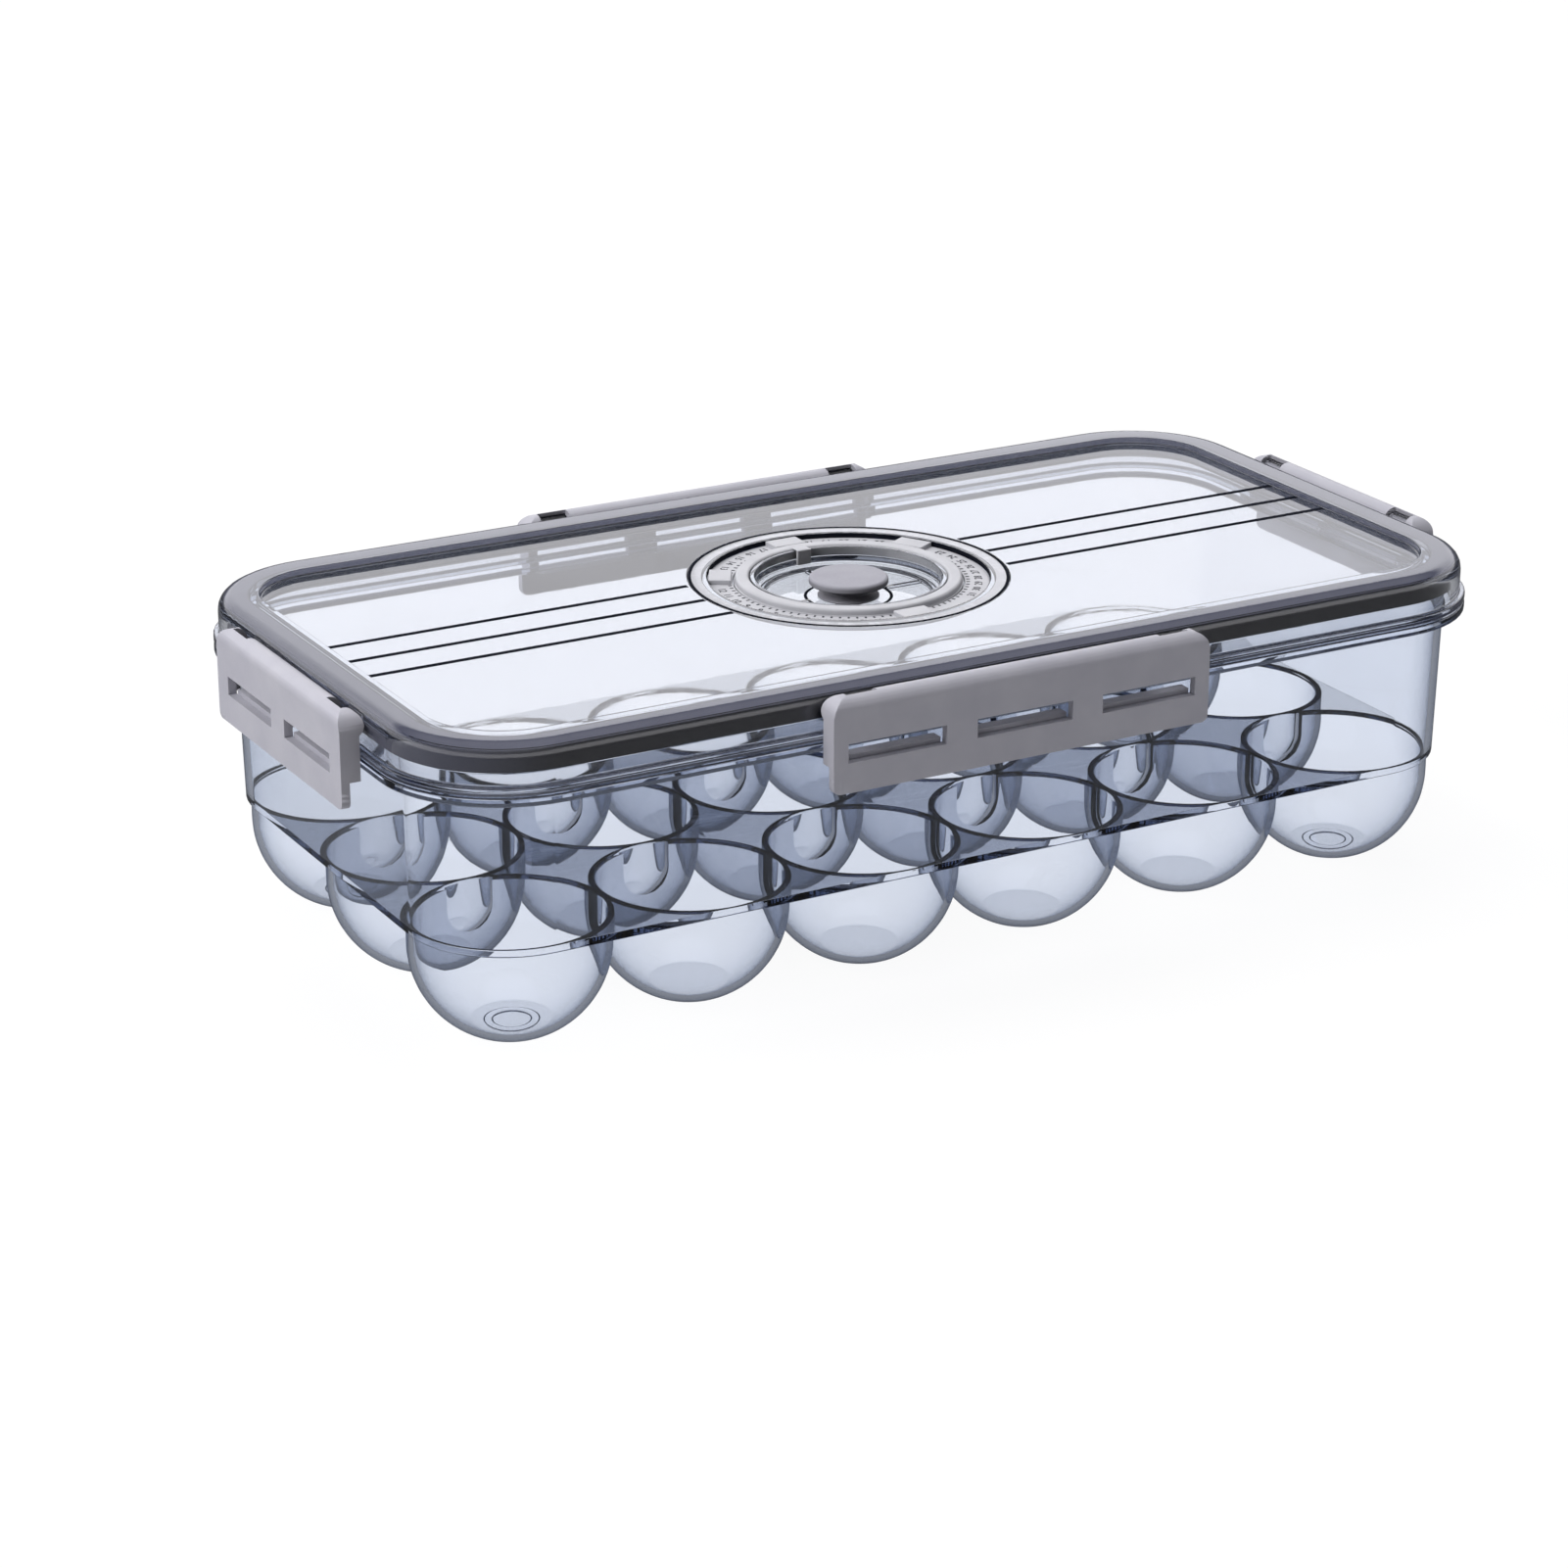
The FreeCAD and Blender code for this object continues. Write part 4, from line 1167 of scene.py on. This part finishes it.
@dataclass
class BarCircle:
    """Equal bars set round a circle about the dial's axis."""

    name: str
    count: int
    radius: float
    height: float
    bar_size: Place
    finish: Material

    def tree(self) -> Tree:
        """Builds the node tree: bars set round a circle.

        Returns:
            The tree, with named inputs for its sizes.
        """
        tree = bpy.data.node_groups.new("bars_round_a_circle", "GeometryNodeTree")
        tree.interface.new_socket("Geometry", in_out="OUTPUT", socket_type="NodeSocketGeometry")
        kinds = (("Count", "Int"), ("Radius", "Float"), ("Height", "Float"), ("Bar Size", "Vector"),
                 ("Finish", "Material"))
        for name, kind in kinds:
            tree.interface.new_socket(name, in_out="INPUT", socket_type=f"NodeSocket{kind}")
        given = tree.nodes.new("NodeGroupInput").outputs
        round_line = {"Vertices": given["Count"], "Radius": given["Radius"]}
        circle = add_node(tree, "GeometryNodeMeshCircle", round_line)
        bar = add_node(tree, "GeometryNodeMeshCube", {"Size": given["Bar Size"]})
        step = add_node(tree, "ShaderNodeMath", {0: math.tau, 1: given["Count"]}, operation="DIVIDE")
        index = tree.nodes.new("GeometryNodeInputIndex")
        angle = add_node(tree, "ShaderNodeMath", {0: index.outputs["Index"], 1: step.outputs["Value"]},
                         operation="MULTIPLY")
        turn = add_node(tree, "ShaderNodeCombineXYZ", {"Z": angle.outputs["Value"]})
        copies = add_node(tree, "GeometryNodeInstanceOnPoints", {
            "Points": circle.outputs["Mesh"],
            "Instance": bar.outputs["Mesh"],
            "Rotation": turn.outputs["Vector"],
        })
        lift = add_node(tree, "ShaderNodeCombineXYZ", {"Z": given["Height"]})
        raised = add_node(tree, "GeometryNodeTransform", {
            "Geometry": copies.outputs["Instances"],
            "Translation": lift.outputs["Vector"],
        })
        real = add_node(tree, "GeometryNodeRealizeInstances", {"Geometry": raised.outputs["Geometry"]})
        paint = add_node(tree, "GeometryNodeSetMaterial", {
            "Geometry": real.outputs["Geometry"],
            "Material": given["Finish"],
        })
        add_node(tree, "NodeGroupOutput", {"Geometry": paint.outputs["Geometry"]})
        return tree

    def build(self, body: Body, slot: Slot) -> None:
        """Builds and settles the bars.

        Args:
            body: Body that they ride on.
            slot: The record's slot of their finish; not used.
        """
        tree = self.tree()
        values = {
            "Count": self.count,
            "Radius": self.radius * MM,
            "Height": self.height * MM,
            "Bar Size": tuple(side * MM for side in self.bar_size),
            "Finish": self.finish,
        }
        draft = bpy.data.objects.new(f"{self.name}_draft", bpy.data.meshes.new(f"{self.name}_draft"))
        bpy.context.scene.collection.objects.link(draft)
        modifier = draft.modifiers.new("bars", "NODES")
        modifier.node_group = tree
        for name, value in values.items():
            modifier[tree.interface.items_tree[name].identifier] = value
        made = plain_mesh(self.name, draft)
        LOG.info("%s: %d faces", self.name, len(made.data.polygons))
        settle(made, body.value)


@dataclass(frozen=True)
class Lamp:
    """Square soft lamp aimed at the box."""

    name: str
    place: Place
    side: float
    watts: float

    def build(self) -> None:
        """Hangs the lamp, which shows neither in gloss nor through the plastic."""
        data = bpy.data.lights.new(self.name, "AREA")
        data.energy = self.watts
        data.size = self.side * MM
        holder = bpy.data.objects.new(self.name, data)
        holder.location = Vector(self.place) * MM
        holder.rotation_euler = (-holder.location).to_track_quat("-Z", "Y").to_euler()
        holder.visible_glossy = False
        holder.visible_transmission = False
        bpy.context.scene.collection.objects.link(holder)


@dataclass
class Studio:
    """White floor, soft lamps, surroundings and the camera."""

    camera_place: Place = (-507.673, -872.846, 407.775)
    azimuth_deg: float = -29.25
    elevation_deg: float = 20.812
    lens_mm: float = 95.47
    sensor_mm: float = 36.0
    lamps: tuple[Lamp, ...] = (
        Lamp("key", (-1500.0, 100.0, 1100.0), 900.0, 26.0),
        Lamp("top", (200.0, 500.0, 1700.0), 1200.0, 26.0))
    floor_half: float = 6000.0
    floor_gap: float = 0.2
    floor_colour: Colour = (0.72, 0.72, 0.73)
    floor_glow: float = 0.82
    floor_light: float = 1.06
    floor_mirror: float = 0.0
    # Painted light and painted shade on the floor as seen through the plastic: brighter behind few faces,
    # darker behind many and after a glossy bounce.
    floor_guided: float = 0.25
    floor_clear: float = 1.18
    floor_deep: float = 0.7
    few_faces: float = 4.0
    many_faces: float = 12.0
    floor_near: float = 480.0
    floor_far: float = 800.0
    ambient: float = 0.2
    ambient_colour: Colour = (0.96, 0.97, 1.0)
    sky_colour: Colour = (0.98, 0.975, 1.02)
    mirror_stops: tuple[Point, ...] = (
        (0.0, 0.1), (0.12, 0.2), (0.2, 1.7), (0.48, 1.7), (0.6, 0.1), (0.93, 0.9))
    inside_stops: tuple[Point, ...] = ((0.0, 0.3), (0.04, 0.03), (0.85, 0.03), (0.95, 0.5))
    bounces: int = 32
    clear_bounces: int = 48
    gloss_bounces: int = 16

    def floor_shine(self, tree: Tree) -> Socket:
        """Gives the floor's brightness: white to the camera, lit near the box, dark in gloss.

        Through the plastic it carries painted light and painted shade: brighter behind few faces than behind
        many, and dimmer where the walls have reflected the ray inside, so that the cups' middles look clear
        and their edges dark.

        Args:
            tree: The floor's node tree.

        Returns:
            The brightness.
        """
        path = tree.nodes.new("ShaderNodeLightPath").outputs
        place = tree.nodes.new("ShaderNodeTexCoord").outputs["Object"]
        away = add_node(tree, "ShaderNodeVectorMath", {0: place}, operation="LENGTH").outputs["Value"]
        near, far, half = self.floor_near * MM, self.floor_far * MM, self.floor_half * MM
        faces = (self.few_faces, self.many_faces)
        inside = spread(tree, away, (self.floor_light, 0.0), (near, far))
        # Painted shade and painted light: the floor dims after a glossy bounce and with the number of faces
        # crossed.
        painted_light_and_shade_shares = (spread(tree, path["Glossy Depth"], (1.0, self.floor_guided), (0.0, 1.0)),
                  spread(tree, path["Transmission Depth"], (self.floor_clear, self.floor_deep), faces))
        for share in painted_light_and_shade_shares:
            product = add_node(tree, "ShaderNodeMath", {0: inside, 1: share}, operation="MULTIPLY")
            inside = product.outputs["Value"]
        direct = spread(tree, away, (self.floor_light, 1 / self.floor_glow), (far, half / 2))
        shine: float | Socket = self.floor_mirror
        for ray, light in (("Is Transmission Ray", inside), ("Is Camera Ray", direct)):
            layer = {"Factor": path[ray], "A": shine, "B": light}
            shine = add_node(tree, "ShaderNodeMix", layer).outputs["Result"]
        return shine

    def build_floor(self) -> None:
        """Builds the pale floor, which keeps a faint shadow."""
        half, height = self.floor_half * MM, -self.floor_gap * MM
        corners = [(x * half, y * half, height) for x, y in ((-1, -1), (1, -1), (1, 1), (-1, 1))]
        data = bpy.data.meshes.new("floor")
        data.from_pydata(corners, [], [(0, 1, 2, 3)])
        floor = bpy.data.objects.new("floor", data)
        bpy.context.scene.collection.objects.link(floor)
        material, tree, shader = new_material("floor")
        matt = {"Roughness": 1.0, "Specular IOR Level": 0.0}
        give(tree, shader, {"Base Color": rgba(self.floor_colour), **matt})
        path = tree.nodes.new("ShaderNodeLightPath").outputs
        glow = add_node(tree, "ShaderNodeEmission", {"Strength": self.floor_shine(tree)})
        seen = add_node(tree, "ShaderNodeMath", {0: path["Is Camera Ray"], 1: path["Is Glossy Ray"]},
                        operation="MAXIMUM")
        share = add_node(tree, "ShaderNodeMath", {0: seen.outputs["Value"], 1: self.floor_glow},
                         operation="MULTIPLY")
        surface = add_node(tree, "ShaderNodeMixShader", {
            "Fac": share.outputs["Value"],
            1: shader.outputs["BSDF"],
            2: glow.outputs["Emission"],
        })
        give(tree, tree.nodes["Material Output"], {"Surface": surface.outputs["Shader"]})
        data.materials.append(material)

    def sky(self, tree: Tree, stops: Sequence[Point]) -> Socket:
        """Adds a background whose brightness goes by the height in the sky.

        Args:
            tree: The world's node tree.
            stops: Heights, as the sine of the elevation, each with its brightness.

        Returns:
            The background.
        """
        place = tree.nodes.new("ShaderNodeTexCoord").outputs["Generated"]
        split = add_node(tree, "ShaderNodeSeparateXYZ", {"Vector": place})
        ramp = add_node(tree, "ShaderNodeValToRGB", {"Fac": split.outputs["Z"]})
        elements = ramp.color_ramp.elements
        for spot, _ in stops[len(elements):]:
            elements.new(spot)
        for element, (spot, grey) in zip(elements, stops):
            element.position = spot
            element.color = rgba(tuple(grey * share for share in self.sky_colour))
        glow = add_node(tree, "ShaderNodeBackground", {"Color": ramp.outputs["Color"]})
        return glow.outputs["Background"]

    def build_world(self) -> None:
        """Builds the surroundings: soft light, a bright low sky in gloss, a dark one through plastic."""
        world = bpy.data.worlds.new("surroundings")
        bpy.context.scene.world = world
        world.use_nodes = True
        tree = world.node_tree
        soft = tree.nodes["Background"]
        give(tree, soft, {"Color": rgba(self.ambient_colour), "Strength": self.ambient})
        white = add_node(tree, "ShaderNodeBackground", {"Color": rgba((1.0, 1.0, 1.0))})
        path = tree.nodes.new("ShaderNodeLightPath").outputs
        shown = soft.outputs["Background"]
        layers = {
            "Is Glossy Ray": self.sky(tree, self.mirror_stops),
            "Is Transmission Ray": self.sky(tree, self.inside_stops),
            "Is Camera Ray": white.outputs["Background"],
        }
        for ray, background in layers.items():
            mix = add_node(tree, "ShaderNodeMixShader", {"Fac": path[ray], 1: shown, 2: background})
            shown = mix.outputs["Shader"]
        give(tree, tree.nodes["World Output"], {"Surface": shown})

    def build_camera(self) -> None:
        """Sets the camera at the photo's angle."""
        data = bpy.data.cameras.new("camera")
        data.lens = self.lens_mm
        data.sensor_width = self.sensor_mm
        data.clip_end = self.floor_half * MM * 3
        camera = bpy.data.objects.new("camera", data)
        across, rise = math.radians(self.azimuth_deg), math.radians(self.elevation_deg)
        level_part = math.cos(rise)
        back = Vector((math.sin(across) * level_part, -math.cos(across) * level_part, math.sin(rise)))
        camera.location = Vector(self.camera_place) * MM
        camera.rotation_euler = (-back).to_track_quat("-Z", "Y").to_euler()
        bpy.context.scene.collection.objects.link(camera)
        bpy.context.scene.camera = camera

    def build(self) -> None:
        """Builds the studio and sets how far light is followed through the plastic."""
        self.build_floor()
        self.build_world()
        for lamp in self.lamps:
            lamp.build()
        self.build_camera()
        scene = bpy.context.scene
        scene.view_settings.view_transform = "Standard"
        scene.cycles.max_bounces = self.bounces
        scene.cycles.transmission_bounces = self.bounces
        scene.cycles.transparent_max_bounces = self.clear_bounces
        scene.cycles.glossy_bounces = self.gloss_bounces
        scene.cycles.caustics_reflective = False
        scene.cycles.caustics_refractive = False


def main() -> None:
    """Builds the box and its studio."""
    logging.basicConfig(level=logging.INFO, format="%(name)s %(message)s")
    finishes = make_finishes()
    grid = Grid()
    Tray(finishes, grid).build()
    Lid(finishes, grid).build()
    for node in Clip.NODES:
        Clip(finishes, node).build()
    Dial(finishes).build()
    Studio().build()


if __name__ == "__main__":
    main()
